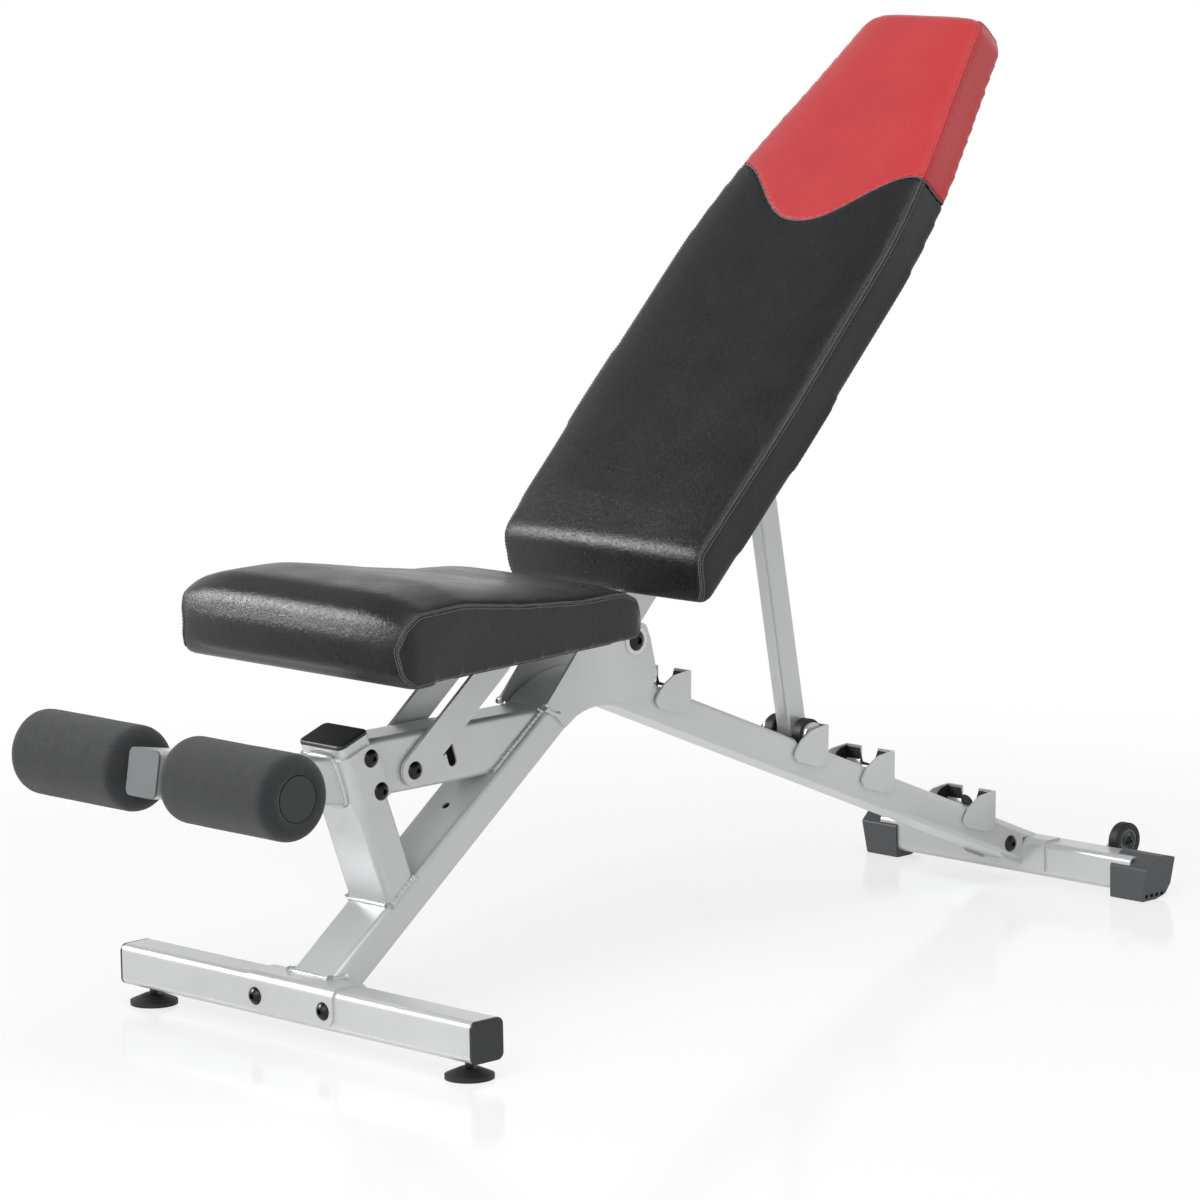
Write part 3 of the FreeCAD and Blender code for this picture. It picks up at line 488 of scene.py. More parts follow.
def rounded_outline(corners, step=0.006):
    """Closed outline in (a, b), metres, from corners (a, b, radius); returns points and normals."""
    count = len(corners)
    ends = []
    for i in range(count):
        p = Vector(corners[i][:2])
        before = (Vector(corners[i - 1][:2]) - p).normalized()
        after = (Vector(corners[(i + 1) % count][:2]) - p).normalized()
        half = before.angle(after) / 2
        r = corners[i][2]
        cut = r / math.tan(half)
        centre = p + (before + after).normalized() * (r / math.sin(half))
        start = p + before * cut
        end = p + after * cut
        a0 = math.atan2(*(start - centre).yx)
        turn = (math.atan2(*(end - centre).yx) - a0 + math.pi) % (2 * math.pi) - math.pi
        pieces = max(2, int(abs(turn) * r / step) + 2)
        ends.append([centre + Vector((math.cos(a0 + turn * k / pieces), math.sin(a0 + turn * k / pieces)))
                     * r for k in range(pieces + 1)])
    line = [q for arc in ends for q in arc]
    pts = resample([Vector((q.x, q.y, 0)) for q in line], step, closed=True)
    area = sum(a.x * b.y - b.x * a.y for a, b in zip(pts, pts[1:] + pts[:1]))
    way = 1 if area > 0 else -1
    normals = []
    for i in range(len(pts)):
        t = (pts[(i + 1) % len(pts)] - pts[i - 1]).normalized()
        normals.append(Vector((t.y * way, -t.x * way)))
    return [Vector((q.x, q.y)) for q in pts], normals


def block(outline, normals, half, place, crown, spine, columns=26):
    """Closed form: the outline carried across the cushion, its panel crowned in the middle.

    Each side is made of strips to a line along its middle, from the first to the second value
    of spine at the height of the third, so that it follows the cushion's width.
    """
    verts = []
    faces = []
    count = len(outline)
    for p, n in zip(outline, normals):
        for j in range(columns + 1):
            t = -1 + 2 * j / columns
            lift = crown(p, n) * (1 - abs(t) ** 5)
            verts.append(place(p.x + n.x * lift, half(p.x) * t, p.y + n.y * lift))
    row = columns + 1
    for i in range(count):
        k = (i + 1) % count
        for j in range(columns):
            faces.append((i * row + j, k * row + j, k * row + j + 1, i * row + j + 1))
    first, last, level = spine
    for side, edge in ((-1, 0), (1, columns)):
        base = len(verts)
        for p in outline:
            at = min(last, max(first, p.x))
            verts.append(place(at, side * half(at), level))
        for i in range(count):
            k = (i + 1) % count
            faces.append((i * row + edge, k * row + edge, base + k, base + i))
    return verts, faces


def applied(obj, name):
    """Turns the object's modifiers into its mesh."""
    graph = bpy.context.evaluated_depsgraph_get()
    mesh = bpy.data.meshes.new_from_object(obj.evaluated_get(graph), depsgraph=graph)
    mesh.name = name
    obj.modifiers.clear()
    obj.data = mesh
    return obj


def capped(moves, most):
    """Moves no longer than the given lengths."""
    length = np.linalg.norm(moves, axis=1)
    return moves * np.minimum(1, most / np.maximum(length, 1e-9))[:, None]


def place_evenly(mesh, rest, swell, free):
    """Spreads a cover's swelling evenly, as a firm foam core does, and caps it."""
    start = np.array([p[:] for p in rest])
    moves = capped(np.array([v.co[:] for v in mesh.vertices]) - start, swell)
    edges = np.empty(len(mesh.edges) * 2, dtype=int)
    mesh.edges.foreach_get("vertices", edges)
    edges = edges.reshape(-1, 2)
    count = np.bincount(edges.ravel(), minlength=len(moves))[:, None]
    for _ in range(60):
        total = np.zeros_like(moves)
        np.add.at(total, edges[:, 0], moves[edges[:, 1]])
        np.add.at(total, edges[:, 1], moves[edges[:, 0]])
        moves = total / np.maximum(count, 1)
    most = np.array([swell * free(p) for p in rest])
    mesh.vertices.foreach_set("co", (start + capped(moves, most)).ravel())
    mesh.update()


def stuffed(name, verts, faces, material, swell, free):
    """Remeshes a form, lets foam press out against its cloth cover, and caps how far it moves."""
    s = settings()
    obj = new_object(name, verts, faces, material)
    turn_outward(obj)
    remesh = obj.modifiers.new("remesh", "REMESH")
    remesh.mode = "VOXEL"
    remesh.voxel_size = s.voxel
    remesh.use_smooth_shade = True
    applied(obj, name)
    smooth = obj.modifiers.new("smooth", "SMOOTH")
    smooth.factor = 0.5
    smooth.iterations = 5
    applied(obj, name)
    rest = [v.co.copy() for v in obj.data.vertices]
    cloth = obj.modifiers.new("cloth", "CLOTH")
    cloth.settings.use_pressure = True
    cloth.settings.uniform_pressure_force = s.pressure
    cloth.settings.effector_weights.gravity = 0
    cloth.point_cache.frame_start = 1
    cloth.point_cache.frame_end = 20
    scene = bpy.context.scene
    for number in range(1, 21):
        scene.frame_set(number)
    applied(obj, name)
    scene.frame_set(1)
    place_evenly(obj.data, rest, swell, free)
    calm = obj.modifiers.new("calm", "SMOOTH")
    calm.factor = 0.5
    calm.iterations = 3
    finer = obj.modifiers.new("finer", "SUBSURF")
    finer.levels = 1
    finer.render_levels = 1
    applied(obj, name)
    obj.data.shade_smooth()
    if not obj.data.materials:
        obj.data.materials.append(material)
    return obj


def press_in(obj, path, depth, width, pucker=0.0, pucker_step=0.009):
    """Presses a seam's groove into a cover, with small puckers along it if asked."""
    tree = KDTree(len(path))
    for i, p in enumerate(path):
        tree.insert(p, i)
    tree.balance()
    step = (path[1] - path[0]).length
    reach = width * 3
    moved = []
    for v in obj.data.vertices:
        p = v.co.copy()
        _, i, d = tree.find(p)
        if d < reach:
            wave = 1 + pucker * math.sin(2 * math.pi * i * step / pucker_step)
            p -= v.normal * (depth * wave * math.exp(-(d / width) ** 2))
        moved.extend(p)
    obj.data.vertices.foreach_set("co", moved)
    obj.data.update()


def calmed(points):
    """A path with its small jumps smoothed out; its ends stay."""
    pts = list(points)
    for _ in range(4):
        pts = [pts[0]] + [(a + b * 2 + c) / 4 for a, b, c in zip(pts, pts[1:], pts[2:])] + [pts[-1]]
    return pts


def on_surface(obj, points):
    """Nearest points of a cover, and the directions out of it there."""
    graph = bpy.context.evaluated_depsgraph_get()
    tree = BVHTree.FromObject(obj, graph)
    found = []
    normals = []
    for p in points:
        at, normal, _, _ = tree.find_nearest(p)
        found.append(at)
        normals.append(normal)
    return found, normals


def box_seams(cover, outline, normals, half, place, seam_part, prefix, body):
    """The two seams between the main panel and the side panels, each with two rows of stitches."""
    s = settings()
    inset = s.stitch_inset
    count = len(outline)
    order = [i for i in range(count) if seam_part(outline[i], normals[i])]
    start = next(k for k in range(len(order)) if (order[k] - order[k - 1]) % count != 1)
    order = order[start:] + order[:start]
    rows = []
    seams = []
    for side in (-1, 1):
        edge = [place(outline[i].x, side * half(outline[i].x), outline[i].y) for i in order]
        seams.append(resample(edge, 0.002))
    for path in seams:
        press_in(cover, path, 0.0016, 0.003)
    for side, path in zip((-1, 1), seams):
        top = [place(outline[i].x, side * (half(outline[i].x) - inset), outline[i].y) for i in order]
        low = [place(outline[i].x - normals[i].x * inset, side * half(outline[i].x),
                     outline[i].y - normals[i].y * inset) for i in order]
        for line in (top, low):
            pts, outs = on_surface(cover, resample(line, s.stitch_pitch))
            rows += stitch_row(pts, outs)
        pts, outs = on_surface(cover, resample(path, 0.004))
        sunk = [p - o * 0.0001 for p, o in zip(pts, outs)]
        rows.append(rope_parts(sunk, 0.0008, 6))
    piece = join_parts(prefix + "_seams", rows, finish_of("black_thread"))
    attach(piece, body)
    return piece


# ------------------------------------------------------------------ the seat

SEAT_CORNERS = [(-20, 486, 22), (-12, 512, 18), (14, 526, 14), (90, 527, 60), (200, 512, 80),
                (300, 503, 60), (380, 502, 18), (408, 490, 14), (418, 465, 10), (412, 441.5, 8),
                (150, 441.5, 4), (66, 441.5, 4), (40, 440, 10), (4, 438, 14), (-16, 452, 14)]


def seat_half(x):
    """Half the seat's width at a distance from the front floor tube's middle, in metres."""
    nose = -0.020
    tail = 0.412
    share = min(1, max(0, (x - nose) / (tail - nose)))
    half = (0.406 + (0.314 - 0.406) * share) / 2
    for end, r in ((nose, 0.016), (tail + 0.007, 0.016)):
        near = abs(x - end)
        if near < r:
            half -= r - math.sqrt(max(0, r * r - (r - near) ** 2))
    return half


def seat_place(a, y, b):
    return Vector((BENCH_X + a, y, b))


def on_seat_board(p):
    return p.y < 0.4505 and 0.045 < p.x < 0.405


def seat_freedom(p):
    """Share of the swelling that a point of the seat may have: none by the board, little at the tail."""
    tail = min(1, max(0.1, (BENCH_X + 0.40 - p.x) / 0.08))
    return tail * min(1, max(0, (p.z - 0.4425) / 0.012))


def seat_crown(p, n):
    """How far the seat's panel stands out in its middle: most over the nose, least at the tail."""
    if n.y < -0.3:
        return 0.0
    fall = min(1, max(0, (p.x - 0.09) / 0.31))
    top = 0.0165 - 0.0125 * fall * fall * (3 - 2 * fall)
    return 0.007 + (top - 0.007) * max(0, n.y) if p.x < 0.2 else top * max(0.2, n.y)


class BENCH_OT_seat_cushion(bpy.types.Operator):
    """Seat cushion: a rolled nose, a dip before the tail, seamed side panels"""

    bl_idname = "bench.seat_cushion"
    bl_label = "Seat cushion"

    def execute(self, context):
        s = settings()
        slim = [(x * MM, z * MM, r * MM) for x, z, r in SEAT_CORNERS]
        outline, normals = rounded_outline(slim)
        verts, faces = block(outline, normals, lambda x: seat_half(x) - 0.0015, seat_place,
                             seat_crown, (0.0, 0.404, 0.472))
        cover = stuffed("seat_cover", verts, faces, finish_of("black_vinyl"), s.seat_swell,
                        seat_freedom)
        box_seams(cover, outline, normals, seat_half, seat_place,
                  lambda p, n: not on_seat_board(p), "seat", "seat")
        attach(cover, "seat")
        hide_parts("seat_pad")
        return {"FINISHED"}


# -------------------------------------------------------------- the back rest

BACK_U0 = 0.033
BACK_LENGTH = 0.893
BACK_LOW = 0.051
BACK_HIGH = 0.097
BACK_HEEL = 0.037
BOARD_WRAP = 0.0085
BACK_HALF = 0.180
BACK_TAPER = 1 - 0.196 / 0.360
BACK_WIDTHS = [(0.0, 0.96), (0.25, 1.01), (0.45, 1.0), (0.59, 1 - 0.045 * BACK_TAPER),
               (0.73, 1 - 0.28 * BACK_TAPER), (0.86, 1 - 0.63 * BACK_TAPER), (1.0, 1 - BACK_TAPER)]
HEAD_EDGE_U = 0.665
HEAD_DIP = 0.087
HEAD_EDGE_Y = 0.157


def smooth_table(table, at):
    """Catmull-Rom curve through a table's points."""
    last = len(table) - 1
    i = max(k for k in range(last) if table[k][0] <= at or k == 0)
    p = [table[min(last, max(0, i + k))] for k in (-1, 0, 1, 2)]
    t = (at - p[1][0]) / (p[2][0] - p[1][0])
    m1 = (p[2][1] - p[0][1]) / (p[2][0] - p[0][0]) * (p[2][0] - p[1][0])
    m2 = (p[3][1] - p[1][1]) / (p[3][0] - p[1][0]) * (p[2][0] - p[1][0])
    return ((2 * t ** 3 - 3 * t * t + 1) * p[1][1] + (t ** 3 - 2 * t * t + t) * m1
            + (3 * t * t - 2 * t ** 3) * p[2][1] + (t ** 3 - t * t) * m2)


def back_half(u):
    """Half the back pad's width at a distance from the pivot."""
    share = min(1, max(0, (u - BACK_U0) / BACK_LENGTH))
    half = BACK_HALF * smooth_table(BACK_WIDTHS, share)
    for end, r in ((BACK_U0, 0.014), (BACK_U0 + BACK_LENGTH, 0.018)):
        near = abs(u - end)
        if near < r:
            half -= r - math.sqrt(max(0, r * r - (r - near) ** 2))
    return half


def back_freedom(p):
    """Share of the swelling that a point of the back may have: none by the board, little at the foot."""
    u, _, n = back_local(p)
    foot = min(1, max(0.1, (u - 0.06) / 0.08))
    return foot * min(1, max(0, (n - BACK_LOW + BOARD_WRAP) / 0.015))


def head_line(y):
    """Where the red cover's edge crosses the pad: a U that dips in the middle."""
    share = min(1, abs(y) / HEAD_EDGE_Y)
    return HEAD_EDGE_U - HEAD_DIP * (1 - ((1 - math.cos(math.pi * share)) / 2) ** 1.15)


def above_head_line(p):
    u, y, _ = back_local(p)
    return u - head_line(y)


def cut_along(bm, side_of):
    """Splits a mesh's faces along the line where side_of is zero."""
    value = {v: side_of(v.co) for v in bm.verts}
    for v in value:
        if abs(value[v]) < 1e-6:
            value[v] = 1e-6
    for edge in list(bm.edges):
        a, b = edge.verts
        if value[a] * value[b] < 0:
            _, vert = bmesh.utils.edge_split(edge, a, value[a] / (value[a] - value[b]))
            value[vert] = 0.0
    for face in list(bm.faces):
        zero = [v for v in face.verts if value[v] == 0.0]
        if len(zero) == 2:
            bmesh.utils.face_split(face, zero[0], zero[1])
    return value


def kept_side(source, name, material, side_of, keep_above):
    """A closed copy of one side of a cover that is cut along a line."""
    bm = bmesh.new()
    bm.from_mesh(source.data)
    cut_along(bm, side_of)
    lost = [f for f in bm.faces if (side_of(f.calc_center_median()) > 0) != keep_above]
    bmesh.ops.delete(bm, geom=lost, context="FACES")
    rim = [e for e in bm.edges if e.is_boundary]
    bmesh.ops.holes_fill(bm, edges=rim, sides=0)
    bmesh.ops.triangulate(bm, faces=[f for f in bm.faces if len(f.verts) > 4])
    for f in bm.faces:
        f.smooth = True
    mesh = bpy.data.meshes.new(name)
    bm.to_mesh(mesh)
    bm.free()
    mesh.materials.append(material)
    obj = bpy.data.objects.new(name, mesh)
    bpy.context.scene.collection.objects.link(obj)
    return obj


def head_seam_path(step):
    """The red cover's edge from one side of the pad, over its face, to the other side."""
    pts = []
    side = back_half(HEAD_EDGE_U)
    low = BACK_LOW - 0.007
    high = BACK_HIGH - 0.004
    for k in range(9):
        pts.append(back_point(HEAD_EDGE_U, -side - 0.002, low + (high - low) * k / 8))
    for k in range(61):
        y = (-1 + 2 * k / 60) * (side - 0.004)
        pts.append(back_point(head_line(y), y, BACK_HIGH + 0.004))
    for k in range(9):
        pts.append(back_point(HEAD_EDGE_U, side + 0.002, high - (high - low) * k / 8))
    return resample(pts, step)


class BENCH_OT_back_cushion(bpy.types.Operator):
    """Back cushion: a tapered crowned pad, its head under a red cover with a U-shaped edge"""

    bl_idname = "bench.back_cushion"
    bl_label = "Back cushion"

    def execute(self, context):
        s = settings()
        end = BACK_U0 + BACK_LENGTH
        low = BACK_LOW - BOARD_WRAP
        corners = [(BACK_U0 - 0.006, low, 0.007), (end + 0.003, low, 0.006),
                   (end + 0.004, BACK_HIGH, 0.013), (BACK_U0 + BACK_HEEL, BACK_HIGH, 0.022)]
        outline, normals = rounded_outline(corners)
        verts, faces = block(outline, normals, lambda u: back_half(u) - 0.0015, back_point,
                             lambda p, n: 0.006 * max(0, n.y), (0.056, end - 0.012, 0.07))
        whole = stuffed("back_form", verts, faces, finish_of("black_vinyl"), s.back_swell,
                        back_freedom)
        seams = box_seams(whole, outline, normals, back_half, back_point,
                          lambda p, n: p.y > low + 0.002, "back", "back_rest")
        path, _ = on_surface(whole, head_seam_path(0.002))
        press_in(whole, calmed(path), 0.0018, 0.0032, 0.5, 0.011)
        body = kept_side(whole, "back_cover", finish_of("black_vinyl"), above_head_line, False)
        head = kept_side(whole, "head_cover", finish_of("red_vinyl"), above_head_line, True)
        path, outs = on_surface(whole, head_seam_path(0.003))
        welt = [p + o * 0.0003 for p, o in zip(calmed(path), outs)]
        piping = join_parts("head_piping", [rope_parts(welt, 0.0011, 8)], finish_of("black_thread"))
        row, outs = on_surface(whole, [p + (back_point(1, 0, 0) - back_point(0, 0, 0)) * 0.0036
                                       for p in head_seam_path(s.stitch_pitch)])
        stitches = join_parts("head_stitches", stitch_row(row, outs), finish_of("red_thread"))
        for piece in (body, head, piping, stitches):
            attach(piece, "back_rest")
        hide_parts("back_pad")
        self.tint_head_seams(seams)
        bpy.data.objects.remove(whole)
        return {"FINISHED"}

    def tint_head_seams(self, seams):
        """The side seams are sewn in red where they cross the red cover."""
        seams.data.materials.append(finish_of("red_thread"))
        for face in seams.data.polygons:
            if above_head_line(face.center) > 0:
                face.material_index = 1


# ------------------------------------------------------------- leg foam


class BENCH_OT_foam_sleeves(bpy.types.Operator):
    """Foam sleeves of the two leg rollers, soft-edged and slightly uneven"""

    bl_idname = "bench.foam_sleeves"
    bl_label = "Foam sleeves"

    def execute(self, context):
        for side in ("left", "right"):
            low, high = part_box("foam_roller_" + side)
            centre = Vector(((low.x + high.x) / 2, (low.y + high.y) / 2, (low.z + high.z) / 2))
            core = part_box("roller_core_" + side)
            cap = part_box("roller_cap_" + side)
            bore = (core[1].x - core[0].x) / 2 + 0.0002
            mouth = (cap[1].x - cap[0].x) / 2 + 0.0004
            self.sleeve("foam_sleeve_" + side, centre, (high.y - low.y) / 2, (high.z - low.z) / 2,
                        bore, mouth, -1 if side == "left" else 1, "leg_roller_" + side)
        return {"FINISHED"}

    def sleeve(self, name, centre, half, radius, bore, mouth, out, body):
        edge = 0.016
        profile = []
        for k in range(9):
            a = math.pi / 2 * k / 8
            profile.append((-half + edge - edge * math.cos(a) * 1.0, radius - edge + edge * math.sin(a)))
        for k in range(1, 24):
            profile.append((-half + edge + (2 * half - 2 * edge) * k / 24, radius))
        for k in range(9):
            a = math.pi / 2 * (1 - k / 8)
            profile.append((half - edge + edge * math.cos(a), radius - edge + edge * math.sin(a)))
        inner = [(half, (bore + radius - edge) / 2), (half, bore + 0.001), (half - 0.001, bore),
                 (-half + 0.0055, bore), (-half + 0.0055, mouth - 0.001), (-half + 0.005, mouth),
                 (-half + 0.0015, mouth + 0.0004), (-half, mouth + 0.002)]
        profile = [(y * -out, r) for y, r in profile + inner]
        if out > 0:
            profile.reverse()
        piece = spin(name, centre, profile, settings().sleeve_segments, finish_of("foam"))
        turn_outward(piece)
        for v in piece.data.vertices:
            away = Vector((v.co.x - centre.x, 0, v.co.z - centre.z))
            if away.length > mouth + 0.004:
                dent = noise.noise(v.co * 30) * 0.0003 + noise.noise(v.co * 160) * 0.0001
                v.co += away.normalized() * (dent - 0.0006)
        piece.data.shade_smooth()
        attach(piece, body)
        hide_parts("foam_roller_" + name.split("_")[-1])


# ------------------------------------------------------------- weld beads


def bead(points, radius, seed, rough=0.35):
    """A weld bead: overlapping ripples, uneven, thicker where it starts and stops."""
    pick = random.Random(seed)
    pts = resample([bench(*p) for p in points], 0.0016)
    wobble = [p + Vector((pick.uniform(-1, 1), pick.uniform(-1, 1), pick.uniform(-1, 1))) * 0.0003
              for p in pts]
    phase = pick.uniform(0, 6)

    def size(t):
        ends = 1 + 0.5 * math.exp(-(min(t, 1 - t) * len(pts) / 2.5) ** 2)
        ripple = 1 + rough * 0.35 * math.sin(phase + t * len(pts) * 1.5)
        return radius * ends * ripple

    return rope_parts(wobble, size, 10)


def puddle(at, radius, flat):
    """A small weld puddle: a flattened blob."""
    verts = []
    faces = []
    rings = 5
    sides = 12
    radius *= MM
    flat *= MM
    centre = bench(*at)
    for i in range(rings + 1):
        a = math.pi * i / rings
        for k in range(sides):
            b = 2 * math.pi * k / sides
            wave = 1 + 0.12 * math.sin(3 * b + at[0])
            verts.append(centre + Vector((radius * wave * math.sin(a) * math.cos(b),
                                          flat * math.cos(a), radius * wave * math.sin(a) * math.sin(b))))
    for i in range(rings):
        for k in range(sides):
            m = (k + 1) % sides
            faces.append((i * sides + k, i * sides + m, (i + 1) * sides + m, (i + 1) * sides + k))
    return verts, faces


class BENCH_OT_weld_beads(bpy.types.Operator):
    """Weld beads where the tubes, plates and hooks are joined"""

    bl_idname = "bench.weld_beads"
    bl_label = "Weld beads"

    def execute(self, context):
        r = settings().bead_radius
        paint = finish_of("grey_paint")
        parts = []
        for side in (-1, 1):
            for k, line in enumerate(self.side_welds(side)):
                parts.append(bead(line, r, 10 * k + side + 5))
        for k, (x, z, half) in enumerate(((101.3, 148.3, 33), (142, 179, 33), (7, 76.5, 33))):
            parts.append(bead([(x, -half, z), (x, half, z)], r * 0.8, 200 + k, 0.2))
        parts.append(self.arm_weld(r))
        piece = join_parts("weld_beads_frame", parts, paint)
        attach(piece, "frame")
        blobs = []
        for number in range(1, 5):
            low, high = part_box("hook_%d" % number)
            for side in (-1, 1):
                y = side * 38.5
                x0 = (low.x - BENCH_X) / MM + 22
                x1 = (high.x - BENCH_X) / MM - 10
                z0 = low.z / MM + 3
                blobs.append(puddle((x1, y, z0), 4.2, 2.4))
                blobs.append(puddle((x0, y, z0 + 10), 3.6, 2.2))
        piece = join_parts("weld_puddles_hooks", blobs, paint)
        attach(piece, "frame")
        return {"FINISHED"}

    def side_welds(self, side):
        """Bead lines on one side of the bench, in millimetres."""
        return [[(101.8, side * 37.8, 148.3), (141.8, side * 37.8, 179)],
                [(7, side * 36.5, 76.5), (14, side * 38.2, 76.5), (29, side * 38.2, 76)],
                [(276, side * 30.5, 282.5), (362, side * 30.5, 348.5)],
                [(357, side * 40.5, 352), (368, side * 40.5, 344), (379, side * 40.5, 340)]]

    def arm_weld(self, radius):
        """The raised loop where the leg arm goes into its clamp."""
        pts = []
        for k in range(64):
            a = 2 * math.pi * k / 64
            wide, tall = (math.copysign(abs(f) ** 0.4, f) for f in (math.cos(a), math.sin(a)))
            pts.append(bench(39.5 - 11 * tall, 26.5 * wide, 305 + 30.8 * tall))
        return rope_parts(resample(pts, 0.003, closed=True), radius * 0.9, 10, closed=True)


def slab(corners, shift):
    """A flat plate from its corners and its thickness as a vector, in millimetres."""
    count = len(corners)
    verts = [bench(*c) for c in corners] + [bench(*c) + Vector(shift) * MM for c in corners]
    faces = [tuple(range(count)), tuple(count + i for i in reversed(range(count)))]
    faces += [(i, i + count, (i + 1) % count + count, (i + 1) % count) for i in range(count)]
    return verts, faces


class BENCH_OT_hook_shade_sheets(bpy.types.Operator):
    """Thin black sheets inside the four hooks: painted shade on the inner faces of the hook plates"""

    bl_idname = "bench.hook_liners"
    bl_label = "Hook shade sheets"

    def execute(self, context):
        parts = []
        for number in range(1, 5):
            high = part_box("hook_%d" % number)[1]
            x = (high.x - BENCH_X) / MM - 3.6
            z = high.z / MM
            for side in (-1, 1):
                y = side * 39.4
                wing = [(x, y, z - 2), (x - 12, y, z - 4.5), (x - 19, y, z - 9), (x - 22, y, z - 24),
                        (x, y, z - 24)]
                parts.append(slab(wing, (0, -side * 1.3, 0)))
                a, b = side * 16, side * 39
                back = [(x, a, z - 3), (x, b, z - 3), (x, b, z - 24), (x, 0, z - 24), (x, 0, z - 21),
                        (x, side * 10, z - 20)]
                parts.append(slab(back, (-0.9, 0, 0)))
        # painted shade: thin black slabs laid on the side plates and rear walls of each hook's cradle, where those
        # faces lie in shade
        piece = join_parts("hook_liners", parts, finish_of("black_rubber"))
        turn_outward(piece)
        piece.data.shade_flat()
        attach(piece, "frame")
        return {"FINISHED"}


class BENCH_OT_washers(bpy.types.Operator):
    """Zinc washers under the main pivot's head and nut"""

    bl_idname = "bench.washers"
    bl_label = "Washers"

    def execute(self, context):
        face = -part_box("gusset_left")[0].y
        for name, side in (("pivot_washer_left", -1), ("pivot_washer_right", 1)):
            y = side * face
            ring = [(y, 0.0085), (y + side * 0.0012, 0.0085), (y + side * 0.0016, 0.0095),
                    (y + side * 0.0016, 0.0175), (y + side * 0.0011, 0.0182), (y, 0.0182)]
            piece = spin(name, Vector((PIVOT.x, 0, PIVOT.z)), ring, 72, finish_of("zinc_steel"))
            turn_outward(piece)
            piece.data.shade_flat()
            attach(piece, "frame")
        return {"FINISHED"}


class BENCH_OT_finishes(bpy.types.Operator):
    """Gives every carried-over part of the frame its finish"""

    bl_idname = "bench.finishes"
    bl_label = "Finishes"

    def execute(self, context):
        slots = {part["node"]: part["material_slot"] for part in frame["record"]["subparts"]}
        for node, obj in frame["nodes"].items():
            obj.data.materials.clear()
            obj.data.materials.append(finish_of(slots[node]))
        return {"FINISHED"}


# ------------------------------------------------------------------ the stage


def lamp(name, place, target, size, watts, size_y=None):
    light = bpy.data.lights.new(name, "AREA")
    light.shape = "RECTANGLE"
    light.size = size
    light.size_y = size_y or size
    light.energy = watts
    obj = bpy.data.objects.new(name, light)
    obj.location = place
    obj.rotation_euler = (Vector(target) - Vector(place)).to_track_quat("-Z", "Y").to_euler()
    obj.visible_camera = False
    bpy.context.scene.collection.objects.link(obj)
    return obj


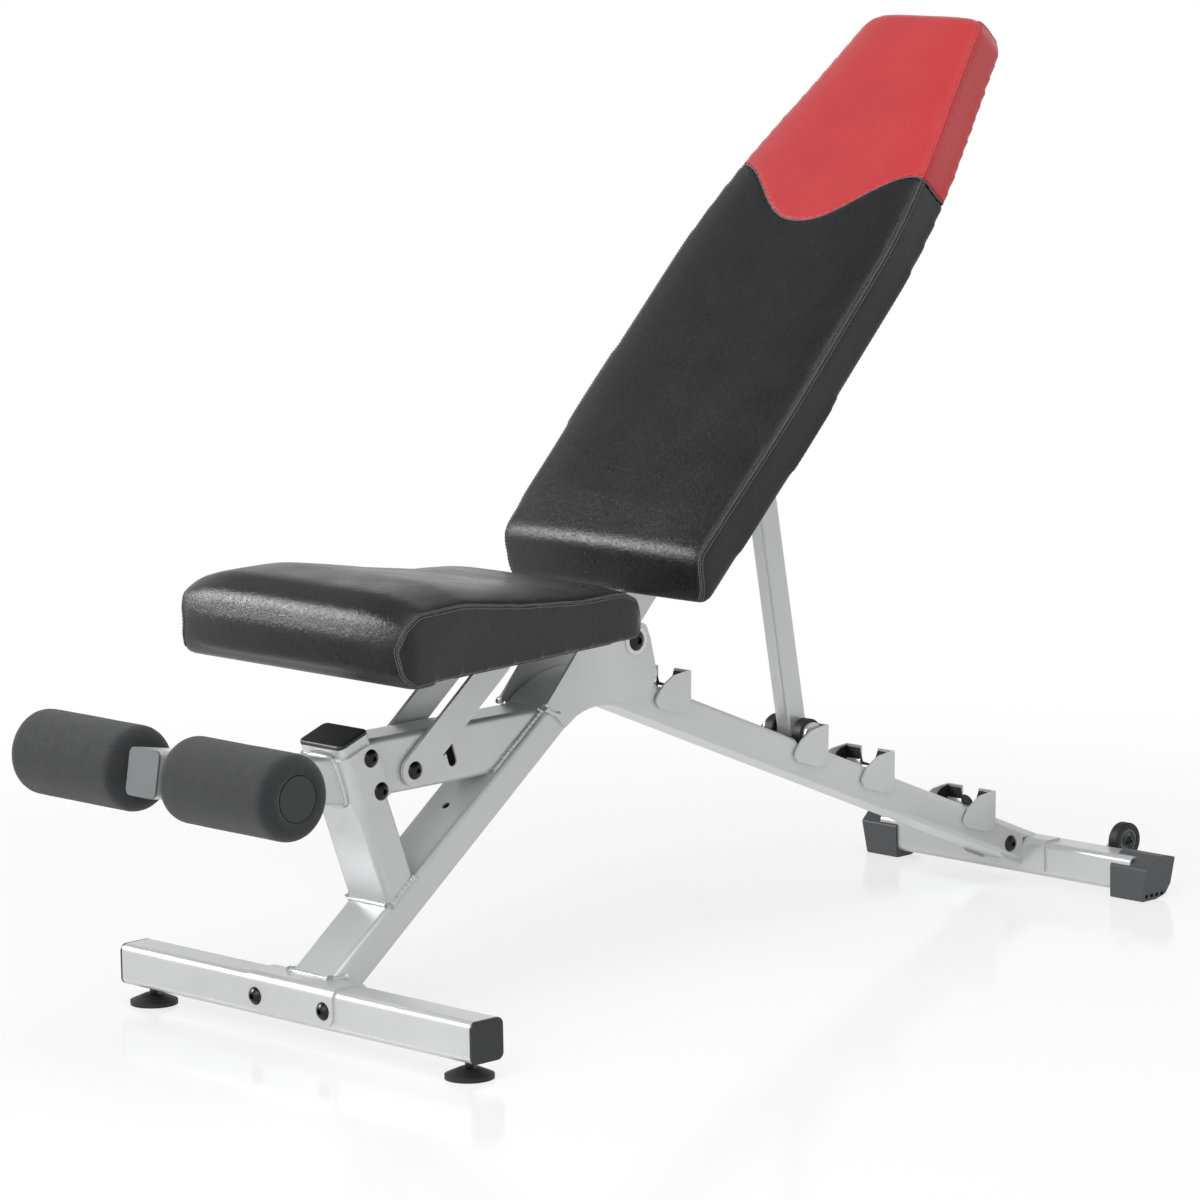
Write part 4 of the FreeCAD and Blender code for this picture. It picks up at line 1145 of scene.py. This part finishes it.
class BENCH_OT_stage(bpy.types.Operator):
    """Camera, soft lamps, pale floor and white surroundings"""

    bl_idname = "bench.stage"
    bl_label = "Stage"

    def execute(self, context):
        stage = context.scene.bench_stage
        self.camera(stage)
        self.floor(stage)
        self.surroundings(stage)
        middle = bench(480, 0, 450)
        lamp("softbox_front", bench(-3000, -900, 2000), middle, 2.4, 68)
        lamp("softbox_top", bench(-100, -900, 3300), middle, 2.6, 52)
        strip = lamp("softbox_strip", bench(-1680, 2560, 1800), middle, 1.4, 120, 1.0)
        strip.visible_diffuse = False
        context.scene.view_settings.view_transform = "Standard"
        return {"FINISHED"}

    def camera(self, stage):
        yaw = stage.camera_yaw
        pitch = stage.camera_pitch
        roll = stage.camera_roll
        forward = Vector((math.cos(pitch) * math.cos(yaw), math.cos(pitch) * math.sin(yaw),
                          math.sin(pitch)))
        right = Vector((math.sin(yaw), -math.cos(yaw), 0))
        up = right.cross(forward)
        right_r = right * math.cos(roll) + up * math.sin(roll)
        up_r = up * math.cos(roll) - right * math.sin(roll)
        turn = Matrix((right_r, up_r, -forward)).transposed()
        data = bpy.data.cameras.new("camera")
        data.sensor_width = 36
        data.lens = stage.lens
        data.shift_x, data.shift_y = stage.shift
        data.clip_end = 60
        obj = bpy.data.objects.new("camera", data)
        x, y, z = stage.camera_place
        obj.matrix_world = Matrix.Translation((BENCH_X + x, y, z)) @ turn.to_4x4()
        bpy.context.scene.collection.objects.link(obj)
        bpy.context.scene.camera = obj

    def floor(self, stage):
        """Polished pale floor: it keeps a faint shadow and a faint reflection."""
        material, tree, shader, place = blank("polished_floor")
        tinted(tree, shader, place, colours().floor, 0.5, 0.99, 1.0)
        shader.inputs["Roughness"].default_value = 0.12
        glow = add_node(tree, "ShaderNodeEmission", Color=(1, 1, 1, 1), Strength=1.0)
        path = add_node(tree, "ShaderNodeLightPath")
        seen = self.seen(tree, path)
        reach = add_node(tree, "ShaderNodeVectorMath", operation="LENGTH", links={0: place})
        fade = add_node(tree, "ShaderNodeMapRange", interpolation_type="SMOOTHSTEP",
                        links={"Value": reach.outputs["Value"]})
        fade.inputs["From Min"].default_value = 0.7
        fade.inputs["From Max"].default_value = 2.0
        fade.inputs["To Min"].default_value = 0.68
        fade.inputs["To Max"].default_value = 1.0
        share = add_node(tree, "ShaderNodeMath", operation="MULTIPLY",
                         links={0: seen, 1: fade.outputs[0]})
        out = tree.nodes["Material Output"]
        mix = add_node(tree, "ShaderNodeMixShader", at=out.inputs["Surface"],
                       links={0: share.outputs[0], 1: shader.outputs[0], 2: glow.outputs[0]})
        mix.label = "floor"
        side = stage.floor_size / 2
        verts = [(-side, -side, 0), (side, -side, 0), (side, side, 0), (-side, side, 0)]
        piece = new_object("floor", [Vector(v) for v in verts], [(0, 1, 2, 3)], material, False)

    def seen(self, tree, path):
        """One for camera, glossy and transmission rays."""
        first = add_node(tree, "ShaderNodeMath", operation="MAXIMUM",
                         links={0: path.outputs["Is Camera Ray"], 1: path.outputs["Is Glossy Ray"]})
        second = add_node(tree, "ShaderNodeMath", operation="MAXIMUM",
                          links={0: first.outputs[0], 1: path.outputs["Is Transmission Ray"]})
        return second.outputs[0]

    def surroundings(self, stage):
        world = bpy.data.worlds.new("surroundings")
        world.use_nodes = True
        tree = world.node_tree
        dim = tree.nodes["Background"]
        dim.inputs["Color"].default_value = (1, 1, 1, 1)
        dim.inputs["Strength"].default_value = stage.ambient
        bright = add_node(tree, "ShaderNodeBackground", Color=(1, 1, 1, 1), Strength=1.0)
        path = add_node(tree, "ShaderNodeLightPath")
        out = tree.nodes["World Output"]
        way = add_node(tree, "ShaderNodeTexCoord")
        parts = add_node(tree, "ShaderNodeSeparateXYZ", links={0: way.outputs["Generated"]})
        height = add_node(tree, "ShaderNodeMapRange", links={"Value": parts.outputs["Z"]})
        height.inputs["From Min"].default_value = 0.25
        height.inputs["From Max"].default_value = 0.65
        height.inputs["To Min"].default_value = 1.0
        height.inputs["To Max"].default_value = 0.4
        camera = add_node(tree, "ShaderNodeMath", operation="MAXIMUM",
                          links={0: height.outputs[0], 1: path.outputs["Is Camera Ray"]})
        tree.links.new(camera.outputs[0], bright.inputs["Strength"])
        add_node(tree, "ShaderNodeMixShader", at=out.inputs["Surface"],
                 links={0: self.seen(tree, path), 1: dim.outputs[0], 2: bright.outputs[0]})
        bpy.context.scene.world = world


class BENCH_PT_panel(bpy.types.Panel):
    """Lists the bench's pieces and sizes"""

    bl_idname = "BENCH_PT_panel"
    bl_label = "Sit-up bench"
    bl_space_type = "VIEW_3D"
    bl_region_type = "UI"
    bl_category = "Bench"

    def draw(self, context):
        for operator in PIECES:
            self.layout.operator(operator.bl_idname)
        for group in (context.scene.bench_sizes, context.scene.bench_colours,
                      context.scene.bench_stage):
            box = self.layout.box()
            for key in group.bl_rna.properties.keys():
                if key not in ("rna_type", "name"):
                    box.prop(group, key)


PIECES = (BENCH_OT_finishes, BENCH_OT_seat_cushion, BENCH_OT_back_cushion, BENCH_OT_foam_sleeves,
          BENCH_OT_weld_beads, BENCH_OT_hook_shade_sheets, BENCH_OT_washers, BENCH_OT_stage)
CLASSES = (BenchSizes, BenchColours, BenchStage, *PIECES, BENCH_PT_panel)


def register():
    for kind in CLASSES:
        bpy.utils.register_class(kind)
    bpy.types.Scene.bench_sizes = PointerProperty(type=BenchSizes)
    bpy.types.Scene.bench_colours = PointerProperty(type=BenchColours)
    bpy.types.Scene.bench_stage = PointerProperty(type=BenchStage)


def unregister():
    del bpy.types.Scene.bench_sizes
    del bpy.types.Scene.bench_colours
    del bpy.types.Scene.bench_stage
    for kind in reversed(CLASSES):
        bpy.utils.unregister_class(kind)


def main():
    register()
    bpy.ops.bench.finishes()
    bpy.ops.bench.seat_cushion()
    bpy.ops.bench.back_cushion()
    bpy.ops.bench.foam_sleeves()
    bpy.ops.bench.weld_beads()
    bpy.ops.bench.hook_liners()
    bpy.ops.bench.washers()
    bpy.ops.bench.stage()


if __name__ == "__main__":
    main()
